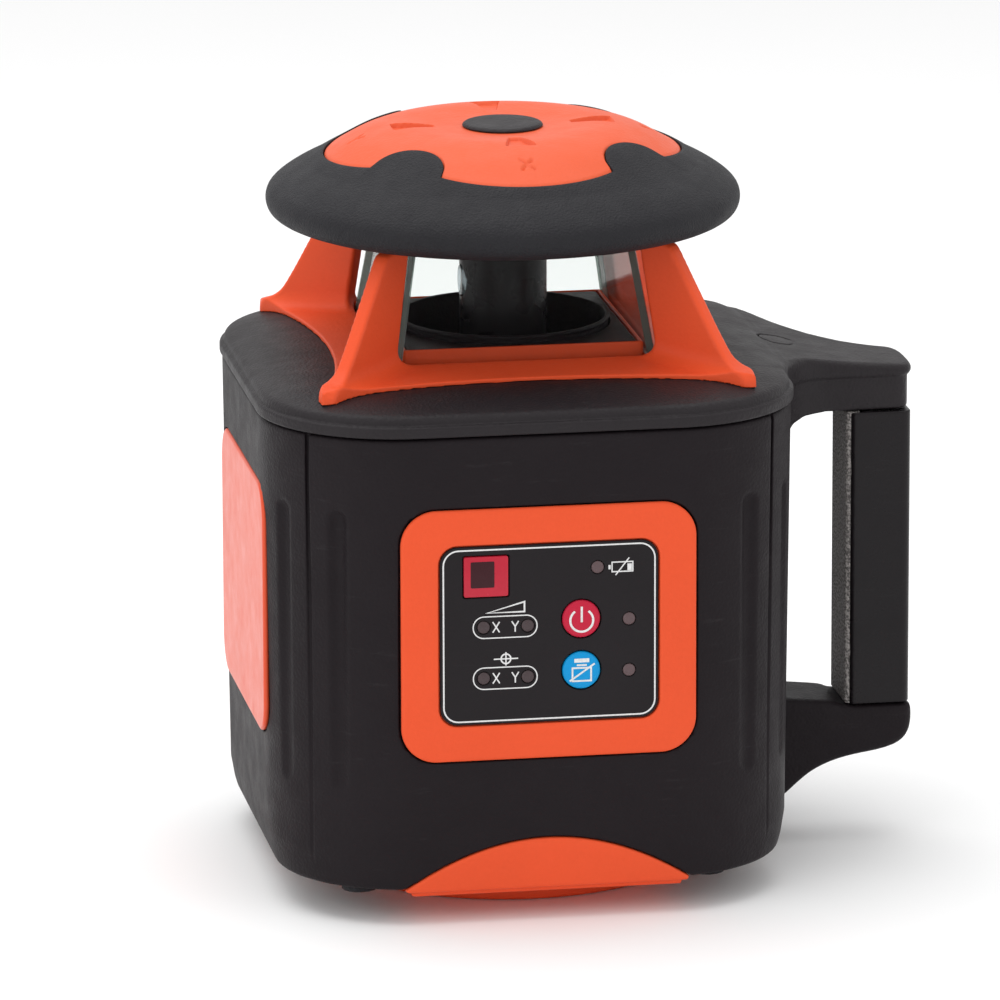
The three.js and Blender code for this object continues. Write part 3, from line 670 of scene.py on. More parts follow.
def shell_field(x, y, z):
    outer = smax(case_outside(x, y, z), slab(z, SHELL_BOTTOM, SEAM), 1.6)
    arm = smax(polygon(x, z, LOWER_ARM), np.abs(y) - GRIP_HY, 3.0)
    arm = np.maximum(arm, ARM_FROM - x)
    body = smin(outer, arm, 5.0)
    body = np.maximum(body, SHELL_BOTTOM - z)
    for sx in (-1, 1):
        for sy in (-1, 1):
            for angle in (26, 55):
                cx, cy = round_the_corner(sx, sy, 41.0, angle)
                flute = bar(x, y, z, (cx, cy, 41), (cx, cy, 115), 3.0)
                body = minus(body, flute, 1.2)
            cx, cy = round_the_corner(sx, sy, 39.3, 41)
            body = minus(body, np.hypot(x - cx, y - cy) - 0.75, 0.3)
    half_x, half_y, radius = case_half(z)
    inner = rect(x, y, half_x - WALL, half_y - WALL, radius - WALL)
    body = minus(body, np.maximum(inner, 13 - z), 0.6)
    front = np.maximum(panel_shape(x, z, GAP), y + RECESS)
    through = np.maximum(panel_shape(x, z, -3.5), y + 60)
    body = minus(minus(body, front, 0.5), through, 0.5)
    rear = np.maximum(panel_shape(x, z, GAP, -0.5), 60 - y)
    ledge = common(panel_shape(x, z, GAP), 60 - y, y - 73.6)
    body = minus(minus(body, rear, 0.5), ledge, 0.5)
    left = np.maximum(panel_shape(y, z, GAP), x + RECESS)
    body = minus(body, left, 0.5)
    apron = common(arch(x, z, 0), np.abs(x) - 40.5, y + 69)
    body = minus(body, apron, 0.5)
    body = minus(body, np.hypot(x, y) - BORE_R + np.maximum(z - 30, 0), 0.3)
    pin = np.hypot(y - HINGE_Y, z - HINGE_Z)
    side = np.maximum(15.4 - np.abs(x), np.abs(x) - 25)
    knuckle = smax(pin - KNUCKLE_R, side, 0.4)
    web = common(slab(y, 73, HINGE_Y), slab(z, HINGE_Z - KNUCKLE_R, HINGE_Z), side)
    body = smin(body, smin(knuckle, web, 0.5), 0.5)
    return minus(body, np.maximum(pin - PIN_HOLE_R, np.abs(x) - 26), 0.2)


CORNER_BANDS = (*mirrored(50, 76, 0.8), *mirrored(40, 43, 0.6))
shell = skin("case_shell", shell_field, (
    axis_steps(-77, 117, 2.2, *mirrored(60, 66, 0.4), (76, 117, 1.1), *mirrored(24, 27, 0.6),
               *mirrored(13, 17, 0.6), *CORNER_BANDS),
    axis_steps(-77, 80, 2.2, *mirrored(58, 64, 0.4), *mirrored(8, 14, 0.9),
               (-76.5, -71, 0.55), (71, 79, 0.5), *CORNER_BANDS),
    axis_steps(7, 141, 2.2, (8, 30, 0.8), (30, 44, 1.1), (43, 49, 0.5), (114, 120, 0.6),
               (136, 141, 0.5)),
), BLACK)
stand_in(shell, "case_black", "housing", "body_shell")

# ---- cover and upper arm ----

UPPER_PLAN = soften([
    (50, -36), (71.5, -36), (76.5, -25), (81, -16), (88, -12), (106, -12), (116.3, -11.6), (116.3, 12.5),
    (108, 14.6), (100, 18.8), (91.5, 27), (84.5, 36), (77, 51), (50, 51),
], 9, 5)
UPPER_TOP = ((60.0, 76.0, 84.0, 92.0, 100.0, 108.0, 118.0), (144.9, 143.9, 142.3, 141.0, 140.1, 139.4, 138.7))


def cover_top(x, y):
    """Height of the cover's crowned top."""
    inward = np.maximum(-rect(x, y, RIM_HALF, RIM_HALF, RIM_CORNER), 0)
    return 148.1 - 4.2 * np.exp(-inward / 9)


def cover_field(x, y, z):
    crown = (z - cover_top(x, y)) * 0.95
    band = smax(rect(x, y, RIM_HALF, RIM_HALF, RIM_CORNER), slab(z, SEAM + 0.3, 142.2), 0.9)
    plate = smax(rect(x, y, 74.1, 74.1, 38.4), np.maximum(SEAM + 0.3 - z, crown), 1.8)
    body = smin(plate, band, 0.5)
    plan = polygon(x, y, UPPER_PLAN)
    top = (z - np.interp(x, *UPPER_TOP)) * 0.98
    under = np.interp(x, (60, 74, 77, 80, 84, 90, 118), (118.6, 119, 121.3, 123.9, 125.4, 126.05, 126.05))
    bead = smax(plan, np.maximum(top, 135.4 - z), 2.2)
    web = smax(plan + 1.1, np.maximum(under - z, z - 138), 1.0)
    arm = smin(bead, web, 0.6)
    body = smin(body, np.maximum(arm, 52 - x), 3.0)
    clear = np.maximum(case_outside(x, y, z, GAP), z - SEAM - 0.3)
    body = minus(body, clear, 0.3)
    deck = smax(rect(x, y, LIP - 1.4, LIP - 1.4, 1), slab(z, 140, DECK), 0.5)
    inner = np.maximum(rect(x, y, 71.4, 71.4, 35.6), z - cover_top(x, y) + 3.2)
    body = minus(body, inner, 0.6)
    body = smin(body, deck, 0.6)
    body = minus(body, np.hypot(x, y) - WELL_R, 0.4)
    plug = np.abs(np.hypot(x - 80, y - 9) - 5.2) - 0.35
    return minus(body, np.maximum(plug, 142 - z), 0.3)


cover = skin("cover_and_arm", cover_field, (
    axis_steps(-78, 117, 1.8, (-77, -68, 0.8), (66, 74, 0.8), (73.5, 86.5, 0.45), (86, 117, 1.0),
               *mirrored(28, 38, 0.8)),
    axis_steps(-78, 78, 1.8, *mirrored(68, 77, 0.8), *mirrored(28, 38, 0.8),
               (-16, -9, 0.8), (2.5, 15.5, 0.45)),
    axis_steps(116, 157, 1.0, (134, 149, 0.45), (152, 156, 0.5)),
), COVER_BLACK)
stand_in(cover, "case_black", "housing", "top_cover")

# ---- foot ----


def foot_field(x, y, z):
    r = np.hypot(x, y)
    ring = smax(np.maximum(r - 54, 12.5 - r), slab(z, 0, SHELL_BOTTOM - GAP), 1.2)
    ring = minus(ring, np.maximum(np.abs(r - 34) - 10.5, z - 3.4), 0.8)
    ring = minus(ring, np.maximum(r - 23, z - 0.8), 0.4)
    tongue = common(np.abs(x) - 38, slab(y, -71.4, -38), slab(z, 7.7, SHELL_BOTTOM - GAP))
    face = common(arch(x, z, GAP), SHELL_BOTTOM - 0.9 - z, np.abs(x) - 39.8)
    apron = smax(smax(face, case_outside(x, y, z, 0.15), 1.1), y + 70.3, 0.5)
    return smin(ring, smin(tongue, apron, 0.6), 0.6)


foot = skin("base_foot_skin", foot_field, (
    axis_steps(-57, 57, 1.4, *mirrored(30, 42, 0.9)),
    axis_steps(-77, 57, 1.6, (-75.5, -68.5, 0.5), (-56, -40, 1.2)),
    axis_steps(-1.5, 27, 0.7),
), ORANGE)
stand_in(foot, "orange_plastic", "housing", "base_foot")

# ---- lantern frame ----

FIN = soften([
    (54, 143), (52.9, DECK), (46.4, 188), (51.0, 188), (51.0, 183.6), (57.8, 183.6), (63, 175),
    (72, 160.3), (76.5, 153.6), (80.5, 149.8), (83.2, 148.6), (83.2, 143),
], 2.5, 3)


def star(x, y):
    """Distance to the lantern's four-pointed base outline."""
    worst = -1e9
    for u, v in ((x, -y), (y, x), (x, y), (y, -x)):
        edge = WAIST + (TIP - WAIST) * (u / TIP) ** 2
        slope = 2 * (TIP - WAIST) * u / TIP ** 2
        worst = np.maximum(worst, (v - edge) / np.sqrt(1 + slope ** 2))
    return worst


def pane_half(z):
    return np.interp(z, (PANE_FOOT, PANE_TOP), (PANE_LOW, PANE_HIGH))


def lantern_field(x, y, z):
    outline = star(x, y)
    square = np.maximum(np.abs(x), np.abs(y))
    inward = np.maximum(-outline, 0.0)
    share = inward / (inward + np.maximum(square - 38.4, 0.0) + 1e-6)
    top = BASE_EDGE + (SEAT - BASE_EDGE) * share ** 1.2
    base = smax(outline + 0.1, (z - top) * 0.97, 0.5)
    lip = smax(square - LIP, z - DECK - 0.2, 0.4)
    along = (np.abs(x) + np.abs(y)) / np.sqrt(2)
    across = (np.abs(x) - np.abs(y)) / np.sqrt(2)
    fin = smax(polygon(along, z, FIN), np.abs(across) - 2.3, 1.3)
    body = smin(base, fin, 5.0)
    radius = np.hypot(x, y)
    ring = common(radius - 51.0, 40 - radius, slab(z, 184.4, 188))
    body = np.maximum(body, np.where(z > 184.1, ring, -1e3))
    inside = common(square - pane_half(z) - 0.3, z - 184.1, PANE_FOOT - 0.3 - z)
    body = minus(body, inside, 0.4)
    body = minus(np.minimum(body, lip), square - LIP + 1.1, 0.3)
    return np.maximum(body, cover_top(x, y) + 0.05 - z)


lantern = skin("lantern_frame_skin", lantern_field, (
    axis_steps(-62, 62, 1.5, *mirrored(30, 61, 0.8)),
    axis_steps(-62, 62, 1.5, *mirrored(30, 61, 0.8)),
    axis_steps(146, 190, 0.9, (146, 155.5, 0.3)),
), ORANGE)
stand_in(lantern, "orange_plastic", "housing", "lantern_frame")

for turns, side in enumerate(("front", "right", "back", "left")):
    corners = []
    a = turns * pi / 2
    for half, z in ((PANE_LOW, PANE_FOOT), (PANE_HIGH, PANE_TOP)):
        inside = 2 - half
        for u, v in ((half - 0.2, -half), (half - 2.2, inside), (2.2 - half, inside), (0.2 - half, -half)):
            corners.append((u * cos(a) - v * sin(a), u * sin(a) + v * cos(a), z))
    pane = from_lists(f"glass_{side}", corners, [
        (3, 2, 1, 0), (4, 5, 6, 7), (0, 1, 5, 4), (1, 2, 6, 5), (2, 3, 7, 6), (3, 0, 4, 7)], GLASS)
    pane.data.materials.append(GLASS_EDGE)
    for index in (0, 1, 2, 4):
        pane.data.polygons[index].material_index = 1
    bevel = pane.modifiers.new("edge", "BEVEL")
    bevel.width, bevel.segments, bevel.limit_method = 0.3 * MM, 1, "ANGLE"
    stand_in(pane, "clear_glass", "housing", f"pane_{side}")

well_r = COLLAR_HIGH[0] - 1.1
collar = lathe("well_lip", soften([
    (well_r, COLLAR_LOW[2]), (well_r + 1.1, COLLAR_LOW[2]), (well_r + 1.1, COLLAR_HIGH[2] - 1.2),
    (well_r + 1.5, COLLAR_HIGH[2] - 0.9), (well_r + 1.4, COLLAR_HIGH[2]), (well_r + 0.2, COLLAR_HIGH[2]),
], 0.4, 3), BLACK, 128)
stand_in(collar, "case_black", "housing", "well_collar")

# ---- cap: orange dome, rubber bumper and centre plug ----

CROWN = soften([
    (0, 209.55), (13, 209.7), (24.5, 210.85), (29, 210.85), (35, 209.9), (41, 207.9), (49, 203.2),
    (59.6, 198.1), (65.6, 193.8), (66.8, 190), (65.4, 186.2), (60, 184), (51.6, 184),
], 4.0, 5, closed=False)
CROWN_R = np.array([p[0] for p in CROWN])
CROWN_Z = np.array([p[1] for p in CROWN])
RIM_AT = int(np.argmax(CROWN_R))
CAP_STEPS = 720
DOME_HOLE = 8.5
BLEND_R = 54.5


def crown(r):
    return np.interp(r, CROWN_R[:RIM_AT], CROWN_Z[:RIM_AT])


def lobed_edge(angle):
    """Radius of the line where the dome meets the rubber, with a lobe on each diagonal."""
    off = abs(degrees(angle) % 90 - 45)
    plain = 50.2 - 0.003 * (45 - off) ** 2
    if off >= 14.5:
        return plain
    lobe = 46.6 - 8.6 * (max(0.0, 1 - (off / 14.5) ** 2)) ** 0.5
    return min(plain, lobe)


def stroke_depth(u, v, strokes, width):
    """Depth share of engraved strokes at (u, v): 1 in the middle of a stroke, 0 outside it."""
    best = 1e9
    for (ax, ay), (bx, by) in strokes:
        ex, ey = bx - ax, by - ay
        t = min(1.0, max(0.0, ((u - ax) * ex + (v - ay) * ey) / (ex * ex + ey * ey)))
        best = min(best, hypot(u - ax - ex * t, v - ay - ey * t))
    return min(1.0, max(0.0, (width - best) / 0.3))


SIGHT = [(19.5, -1.4), (31, -4.2), (31, 4.2), (19.5, 1.4)]
LETTER_X = (((-1.7, -1.9), (1.7, 1.9)), ((-1.7, 1.9), (1.7, -1.9)))
LETTER_Y = (((0, -1.9), (0, 0.1)), ((0, 0.1), (-1.5, 1.9)), ((0, 0.1), (1.5, 1.9)))


def engraving(r, angle):
    """Depth cut into the dome: sight wedges on the four axes and a letter beyond each."""
    quarter = round(angle / (pi / 2))
    local = angle - quarter * pi / 2
    u, v = r * sin(local), r * cos(local)
    if not 18 < v < 46 or abs(u) > 6:
        return 0.0
    wedge = float(polygon(v, u, SIGHT))
    depth = max(0.0, crown(r) - SIGHT_FLOOR) * min(1.0, max(0.0, (0.25 - wedge) / 0.5))
    letter = LETTER_X if quarter % 2 else LETTER_Y
    return max(depth, 0.6 * stroke_depth(u, 41.5 - v, letter, 0.5))


def spun(name, paths, material, angle=40):
    """A closed ring-shaped skin from one closed (r, z) path per angle."""
    count, length = len(paths), len(paths[0])
    vertices = []
    for i, path in enumerate(paths):
        a = 2 * pi * i / count
        vertices += [(r * cos(a), r * sin(a), z) for r, z in path]
    faces = []
    for i in range(count):
        j = (i + 1) % count
        for k in range(length):
            n = (k + 1) % length
            faces.append((i * length + k, j * length + k, j * length + n, i * length + n))
    return from_lists(name, vertices, faces, material, angle)


def dome_path(angle):
    edge = lobed_edge(angle) - 0.15
    path = [(DOME_HOLE, crown(DOME_HOLE) - 2.8), (DOME_HOLE, crown(DOME_HOLE))]
    band = np.concatenate([np.linspace(9, 19, 9), np.linspace(19.4, 32, 27), np.linspace(33, 36.5, 4)])
    outer = np.linspace(37.2, edge - 0.7, 22)
    for r in [*band, *outer]:
        r = min(r, edge - 0.7)
        path.append((r, crown(r) - engraving(r, angle)))
    path += [(edge - 0.35, crown(edge) - 0.02), (edge - 0.08, crown(edge) - 0.25), (edge, crown(edge) - 0.6)]
    return path + [(edge, crown(edge) - 2.8), ((edge + DOME_HOLE) / 2, crown((edge + DOME_HOLE) / 2) - 3.0)]


def bumper_path(angle):
    edge = lobed_edge(angle) + 0.15
    path = [(edge, crown(edge) - 2.8), (edge, crown(edge) - 0.1), (edge + 0.1, crown(edge) + 0.25),
            (edge + 0.35, crown(edge + 0.35) + 0.45)]
    for t in np.linspace(0.12, 1, 12):
        r = edge + 0.35 + (BLEND_R - edge - 0.35) * t
        path.append((r, crown(r) + 0.5 * (1 - t * t)))
    rest = [(r, z) for r, z in zip(CROWN_R, CROWN_Z) if z < crown(BLEND_R) - 0.2]
    path += rest
    return path + [(51.6, 192), (51.6, crown(51.6) - 3), ((51.6 + edge) / 2, crown((51.6 + edge) / 2) - 3)]


turn_list = [2 * pi * i / CAP_STEPS for i in range(CAP_STEPS)]
dome = spun("cap_dome_skin", [dome_path(a) for a in turn_list], DOME)
stand_in(dome, "orange_plastic", "housing", "cap_dome")
bumper = spun("cap_bumper_skin", [bumper_path(a) for a in turn_list], RUBBER)
stand_in(bumper, "bumper_rubber", "housing", "cap_bumper")
plug = lathe("cap_plug_disc", soften([
    (0, PLUG_TOP - 0.1), (7, PLUG_TOP - 0.02), (10.6, PLUG_TOP - 0.1), (11.3, PLUG_TOP - 0.7),
    (11.3, PLUG_TOP - 1.1), (8, PLUG_TOP - 1.2), (8, PLUG_TOP - 5), (0, PLUG_TOP - 5),
], 0.5, 3, closed=False), COVER_BLACK, 96)
stand_in(plug, "case_black", "housing", "cap_plug")

# ---- rotor ----


def rotor_field(x, y, z):
    r = np.hypot(x, y)
    tube = smax(r - ROTOR_R, slab(z, ROTOR_FOOT, 200), 1.0)
    flange = smax(r - 15.6, slab(z, ROTOR_FOOT, 133), 0.5)
    collar_band = smax(r - 12.9, slab(z, 195.5, 198), 0.4)
    body = smin(smin(tube, flange, 1.0), collar_band, 0.4)
    body = minus(body, np.maximum(r - 11.2, z - 198), 0.3)
    port = np.maximum(np.hypot(y, z - 166) - 4.6, x + 6)
    return minus(body, port, 0.5)


tube = skin("rotor_head", rotor_field, (
    axis_steps(-17, 17, 0.7), axis_steps(-17, 17, 0.7),
    axis_steps(129, 202, 1.6, (129, 135, 0.5), (160, 172, 0.6), (194, 201, 0.5)),
), GLOSS)
stand_in(tube, "gloss_black", "rotor", "rotor_tube")

# ---- keypad side ----


def keypad_shape(x, z, grow):
    return rect(x, z - KEYPAD_Z, KEYPAD_HW + grow, KEYPAD_HH + grow, 5 + grow)


def bezel_field(x, y, z):
    plate = smax(panel_shape(x, z, 0), slab(y, BEZEL_LOW[1], -72.9), 1.3)
    back = np.maximum(panel_shape(x, z, -4), slab(y, -73.2, -70.4))
    body = np.minimum(plate, back)
    body = minus(body, np.maximum(keypad_shape(x, z, GAP), y + 73.8), 0.7)
    return minus(body, keypad_shape(x, z, -2.6), 0.3)


bezel = skin("keypad_bezel", bezel_field, (
    axis_steps(-43, 43, 1.5, *mirrored(26.5, 42.5, 0.55)),
    axis_steps(-76.3, -69.6, 0.4),
    axis_steps(45, 120, 1.5, (45.5, 62.5, 0.55), (103, 119.5, 0.55)),
), ORANGE)
stand_in(bezel, "orange_plastic", "housing", "front_bezel")

LAMPS = ("battery", "slope_x", "slope_y", "cal_x", "cal_y", "power", "manual")


def middle(node):
    low, high = cad(node)
    return (low[0] + high[0]) / 2, (low[2] + high[2]) / 2


LAMP_AT = {name: middle(f"lamp_{name}") for name in LAMPS}
BUTTON_AT = {name: middle(f"{name}_button") for name in ("power", "manual")}
WINDOW_X, WINDOW_Z = middle("ir_window")
WINDOW_HW = (WINDOW_HIGH[0] - WINDOW_LOW[0]) / 2
WINDOW_HH = (WINDOW_HIGH[2] - WINDOW_LOW[2]) / 2


def keypad_field(x, y, z):
    body = smax(keypad_shape(x, z, 0), slab(y, KEYPAD_Y, -74.15), 0.3)
    for bx, bz in BUTTON_AT.values():
        body = minus(body, np.hypot(x - bx, z - bz) - 5.6, 0.2)
    for lx, lz in LAMP_AT.values():
        body = minus(body, np.hypot(x - lx, z - lz) - 1.9, 0.2)
    hole = rect(x - WINDOW_X, z - WINDOW_Z, WINDOW_HW + 0.3, WINDOW_HH + 0.3, 0.5)
    return minus(body, hole, 0.2)


keypad = skin("keypad_membrane", keypad_field, (
    axis_steps(-31.6, 31.6, 0.55), axis_steps(-75.6, -73.8, 0.2), axis_steps(56.2, 109, 0.55),
), FILM)
stand_in(keypad, "membrane", "housing", "keypad")


def plate(name, cx, cz, half_w, half_h, radius, y_out, y_in, bevel, material):
    """A rounded rectangular plate facing -Y, with a bevelled front edge."""
    rings = []
    for inset, y in ((bevel, y_out), (bevel * 0.3, y_out + bevel * 0.3), (0, y_out + bevel), (0, y_in)):
        outline = rect_outline(cx, cz, half_w - inset, half_h - inset, max(radius - inset, 0.05), 6)
        rings.append([(x, y, z) for x, z in outline])
    count = len(rings[0])
    vertices = [v for ring in rings for v in ring]
    faces = [tuple(range(count)), tuple(reversed(range(3 * count, 4 * count)))]
    for k in range(3):
        for i in range(count):
            j = (i + 1) % count
            faces.append((k * count + i, (k + 1) * count + i, (k + 1) * count + j, k * count + j))
    return from_lists(name, vertices, faces, material, 30)


window = plate("receiver_window", WINDOW_X, WINDOW_Z, WINDOW_HW, WINDOW_HH, 0.6,
               WINDOW_LOW[1], WINDOW_HIGH[1], 0.25, FILTER)
stand_in(window, "ir_filter", "housing", "ir_window")
detector = plate("receiver_eye", WINDOW_X - 1.0, WINDOW_Z + 0.6, 3.3, 3.7, 0.4,
                 WINDOW_LOW[1] - 0.08, WINDOW_LOW[1] + 0.4, 0.06, DETECTOR)
stand_in(detector, "ir_filter", "housing")

for name, (lx, lz) in LAMP_AT.items():
    lens = lathe(f"indicator_{name}", [
        (0, 75.38), (0.6, 75.34), (1.1, 75.22), (1.5, 75.04), (1.75, 74.8), (1.75, 70.2), (0, 70.2),
    ], DIM_LAMP if name[-2:] in ("_x", "_y") else LAMP, 24, (lx, 0, lz), FACE_FRONT)
    stand_in(lens, "lamp_lens", "housing", f"lamp_{name}")

for name, material, key in (("power", RED, "red_key"), ("manual", BLUE, "blue_key")):
    bx, bz = BUTTON_AT[name]
    button = lathe(f"{name}_key", [
        (0, 75.74), (2.0, 75.73), (3.6, 75.68), (4.5, 75.58), (5.0, 75.36), (5.25, 75.0), (5.3, 74.6),
        (5.3, 73.4), (2.4, 73.4), (2.4, 70.4), (0, 70.4),
    ], material, 64, (bx, 0, bz), FACE_FRONT)
    stand_in(button, key, f"{name}_button", f"{name}_button")


def strokes(y_out, y_in):
    """A maker of printed strokes between two depths, where each layer lies a hair in front of the last."""
    def stroke(points, width, layer=0, closed=False):
        return ribbon(points, width, y_out - layer, y_in, closed)
    return stroke


on_key = strokes(-75.80, -75.55)
px, pz = BUTTON_AT["power"]
power_mark = gathered("power_symbol", [
    on_key(arc(px, pz - 0.3, 3.2, 126, 414, 32), 0.60),
    on_key([(px, pz - 0.8), (px, pz + 3.6)], 0.60, 0.01),
], WHITE_INK)
stand_in(power_mark, "red_key", "power_button")
mx, mz = BUTTON_AT["manual"]
manual_mark = gathered("tilt_symbol", [
    on_key([(mx - 2.6, mz - 2.9), (mx - 2.6, mz + 0.8), (mx + 2.6, mz + 0.8), (mx + 2.6, mz - 2.9)],
           0.48, closed=True),
    on_key([(mx - 1.4, mz + 1.6), (mx + 1.4, mz + 1.6)], 0.5),
    on_key([(mx - 2.1, mz + 2.9), (mx + 2.1, mz + 2.9)], 1.1),
    on_key([(mx - 3.4, mz - 2.9), (mx + 3.6, mz + 1.9)], 0.48, 0.01),
], WHITE_INK)
stand_in(manual_mark, "blue_key", "manual_button")

on_film = strokes(KEYPAD_Y - 0.07, KEYPAD_Y + 0.1)


def letter(lines, cx, cz):
    return [
        on_film([(cx + u, cz + v) for u, v in line], 0.36, 0.004 * i)
        for i, line in enumerate(lines)
    ]


marks = [on_film(rect_outline(0, KEYPAD_Z, KEYPAD_HW - 1.0, KEYPAD_HH - 1.0, 4.2, 8), 0.42, closed=True)]
for row in ("slope", "cal"):
    row_z = LAMP_AT[f"{row}_x"][1]
    row_x = (LAMP_AT[f"{row}_x"][0] + LAMP_AT[f"{row}_y"][0]) / 2
    marks.append(on_film(rect_outline(row_x - 0.2, row_z, 8.9, 3.05, 3.0, 10), 0.32, closed=True))
    marks += letter([[(-0.95, -1.5), (0.95, 1.5)], [(-0.95, 1.5), (0.95, -1.5)]], row_x - 2.7, row_z)
    marks += letter([[(-0.95, 1.5), (0, 0), (0.95, 1.5)], [(0, 0.1), (0, -1.5)]], row_x + 2.6, row_z)
slope_x = (LAMP_AT["slope_x"][0] + LAMP_AT["slope_y"][0]) / 2
slope_z = LAMP_AT["slope_x"][1] + 5.4
cal_z = LAMP_AT["cal_x"][1] + 5.4
bat_x, bat_z = LAMP_AT["battery"][0] + 6.6, LAMP_AT["battery"][1] - 0.1
marks += [
    on_film([(slope_x - 5.2, slope_z - 1.3), (slope_x + 5.2, slope_z - 1.3), (slope_x + 5.2, slope_z + 1.5)],
            0.46, closed=True),
    on_film(arc(slope_x, cal_z, 1.35, 0, 345, 24), 0.42, closed=True),
    on_film([(slope_x - 3.4, cal_z), (slope_x + 3.4, cal_z)], 0.36, 0.004),
    on_film([(slope_x, cal_z - 1.9), (slope_x, cal_z + 1.9)], 0.36, 0.008),
    on_film([(bat_x - 2.6, bat_z - 1.35), (bat_x + 3.2, bat_z - 1.35), (bat_x + 3.2, bat_z + 1.35),
             (bat_x - 2.6, bat_z + 1.35)], 0.34, closed=True),
    on_film([(bat_x - 3.3, bat_z - 0.6), (bat_x - 3.3, bat_z + 0.6)], 0.6),
    on_film([(bat_x - 1.6, bat_z - 2.3), (bat_x + 2.2, bat_z + 2.5)], 0.34, 0.004),
    on_film([(bat_x + 2.3, bat_z - 1.1), (bat_x + 2.3, bat_z + 0.8)], 1.2, 0.002),
]
print_marks = gathered("keypad_print", marks, WHITE_INK)
stand_in(print_marks, "membrane", "housing")

# ---- side panel, battery door and latch ----


def side_field(x, y, z):
    return smax(panel_shape(y, z, 0), slab(x, SIDE_LOW[0], SIDE_HIGH[0]), 1.1)


side = skin("left_panel", side_field, (
    axis_steps(SIDE_LOW[0] - 0.9, SIDE_HIGH[0] + 0.9, 0.35),
    axis_steps(-43, 43, 1.6, *mirrored(31, 42.2, 0.6)),
    axis_steps(45, 120, 1.6, (45.8, 58, 0.6), (107, 119.4, 0.6)),
), PANEL)
stand_in(side, "orange_plastic", "housing", "side_panel")


def door_field(x, y, z):
    body = smax(panel_shape(x, z, 0, -0.5), slab(y, 72, 74.8), 1.0)
    rib = np.abs(np.abs(x) - 24) - 0.5
    body = minus(body, common(rib, slab(z, 58, 100), 74.2 - y), 0.5)
    pin = np.hypot(y - HINGE_Y, z - HINGE_Z)
    lug = smax(pin - KNUCKLE_R, np.abs(x) - 15, 0.3)
    web = common(slab(y, 74.5, HINGE_Y), slab(z, HINGE_Z - 0.4, HINGE_Z + 4), np.abs(x) - 14.8)
    body = smin(body, smin(lug, web, 0.6), 0.8)
    slot = np.maximum(rect(x, z - 111.5, 5.4, 4.7, 0.6), 60 - y)
    body = minus(body, slot, 0.4)
    return minus(body, np.maximum(pin - PIN_HOLE_R, np.abs(x) - 30), 0.2)


door = skin("battery_hatch", door_field, (
    axis_steps(-43, 43, 1.4, *mirrored(31, 42.2, 0.6), *mirrored(22, 26, 0.6),
               *mirrored(4.5, 16, 0.6)),
    axis_steps(71, 79.2, 0.4),
    axis_steps(43.5, 120, 1.4, (44, 58, 0.5), (98, 119.4, 0.6)),
), ORANGE)
stand_in(door, "orange_plastic", "battery_door", "battery_door")


def latch_field(x, y, z):
    thumb_z = LATCH_LOW[2]
    thumb = smax(rect(x, z - thumb_z - 3, 7.5, 3, 1.2), slab(y, 75.15, LATCH_HIGH[1]), 0.7)
    for i in range(4):
        groove = np.hypot(y - LATCH_HIGH[1] - 0.25, z - thumb_z - 1.2 - 1.2 * i) - 0.55
        thumb = minus(thumb, np.maximum(groove, np.abs(x) - 6), 0.2)
    neck = smax(np.abs(x) - 5, np.maximum(slab(y, 71, 75.6), slab(z, thumb_z + 1.4, thumb_z + 6)), 0.3)
    tongue = smax(np.abs(x) - 5, np.maximum(slab(y, 69.8, 71.3), slab(z, thumb_z + 1.4, LATCH_HIGH[2])), 0.3)
    return smin(smin(thumb, neck, 0.3), tongue, 0.3)


latch = skin("hatch_latch", latch_field, (
    axis_steps(-8.5, 8.5, 0.5), axis_steps(69, 78, 0.35), axis_steps(104.5, 118.5, 0.4),
), BLACK)
stand_in(latch, "case_black", "door_latch", "door_latch")

# ---- grip ----


def grip_field(x, y, z):
    inner_face = PAD_LOW[0] + 0.6
    centre = (GRIP_HIGH[0] + inner_face) / 2
    half = (GRIP_HIGH[0] - inner_face) / 2
    outer = rect(x - centre, y, half, 11.8, 2.6)
    column = minus(outer, np.maximum(np.abs(y) - 10.75, x - PAD_HIGH[0] - 0.1), 0.3)
    return smax(column, slab(z, GRIP_LOW[2], GRIP_HIGH[2]), 0.5)


grip = skin("grip_column", grip_field, (
    axis_steps(94, 117, 0.6), axis_steps(-13.2, 13.2, 0.8, *mirrored(9, 12.5, 0.35)),
    axis_steps(39, 127.2, 2.4, (39, 42.5, 0.5), (123.5, 127.2, 0.5)),
), GLOSS)
stand_in(grip, "gloss_black", "housing", "handle_grip")


def pad_field(x, y, z):
    centre = (PAD_LOW[0] + PAD_HIGH[0]) / 2
    half = (PAD_HIGH[0] - PAD_LOW[0]) / 2
    outer = rect(x - centre, y, half, 10.6, 1.8)
    return smax(outer, slab(z, PAD_LOW[2], PAD_HIGH[2]), 0.6)


pad = skin("grip_insert", pad_field, (
    axis_steps(95, 102, 0.4), axis_steps(-12, 12, 1.2, *mirrored(8, 11.5, 0.4)),
    axis_steps(39, 127.2, 2.4, (39, 42.5, 0.5), (123.5, 127.2, 0.5)),
), PAD)
stand_in(pad, "grip_rubber", "housing", "grip_pad")

# ---- finishes of the CAD nodes that stay ----

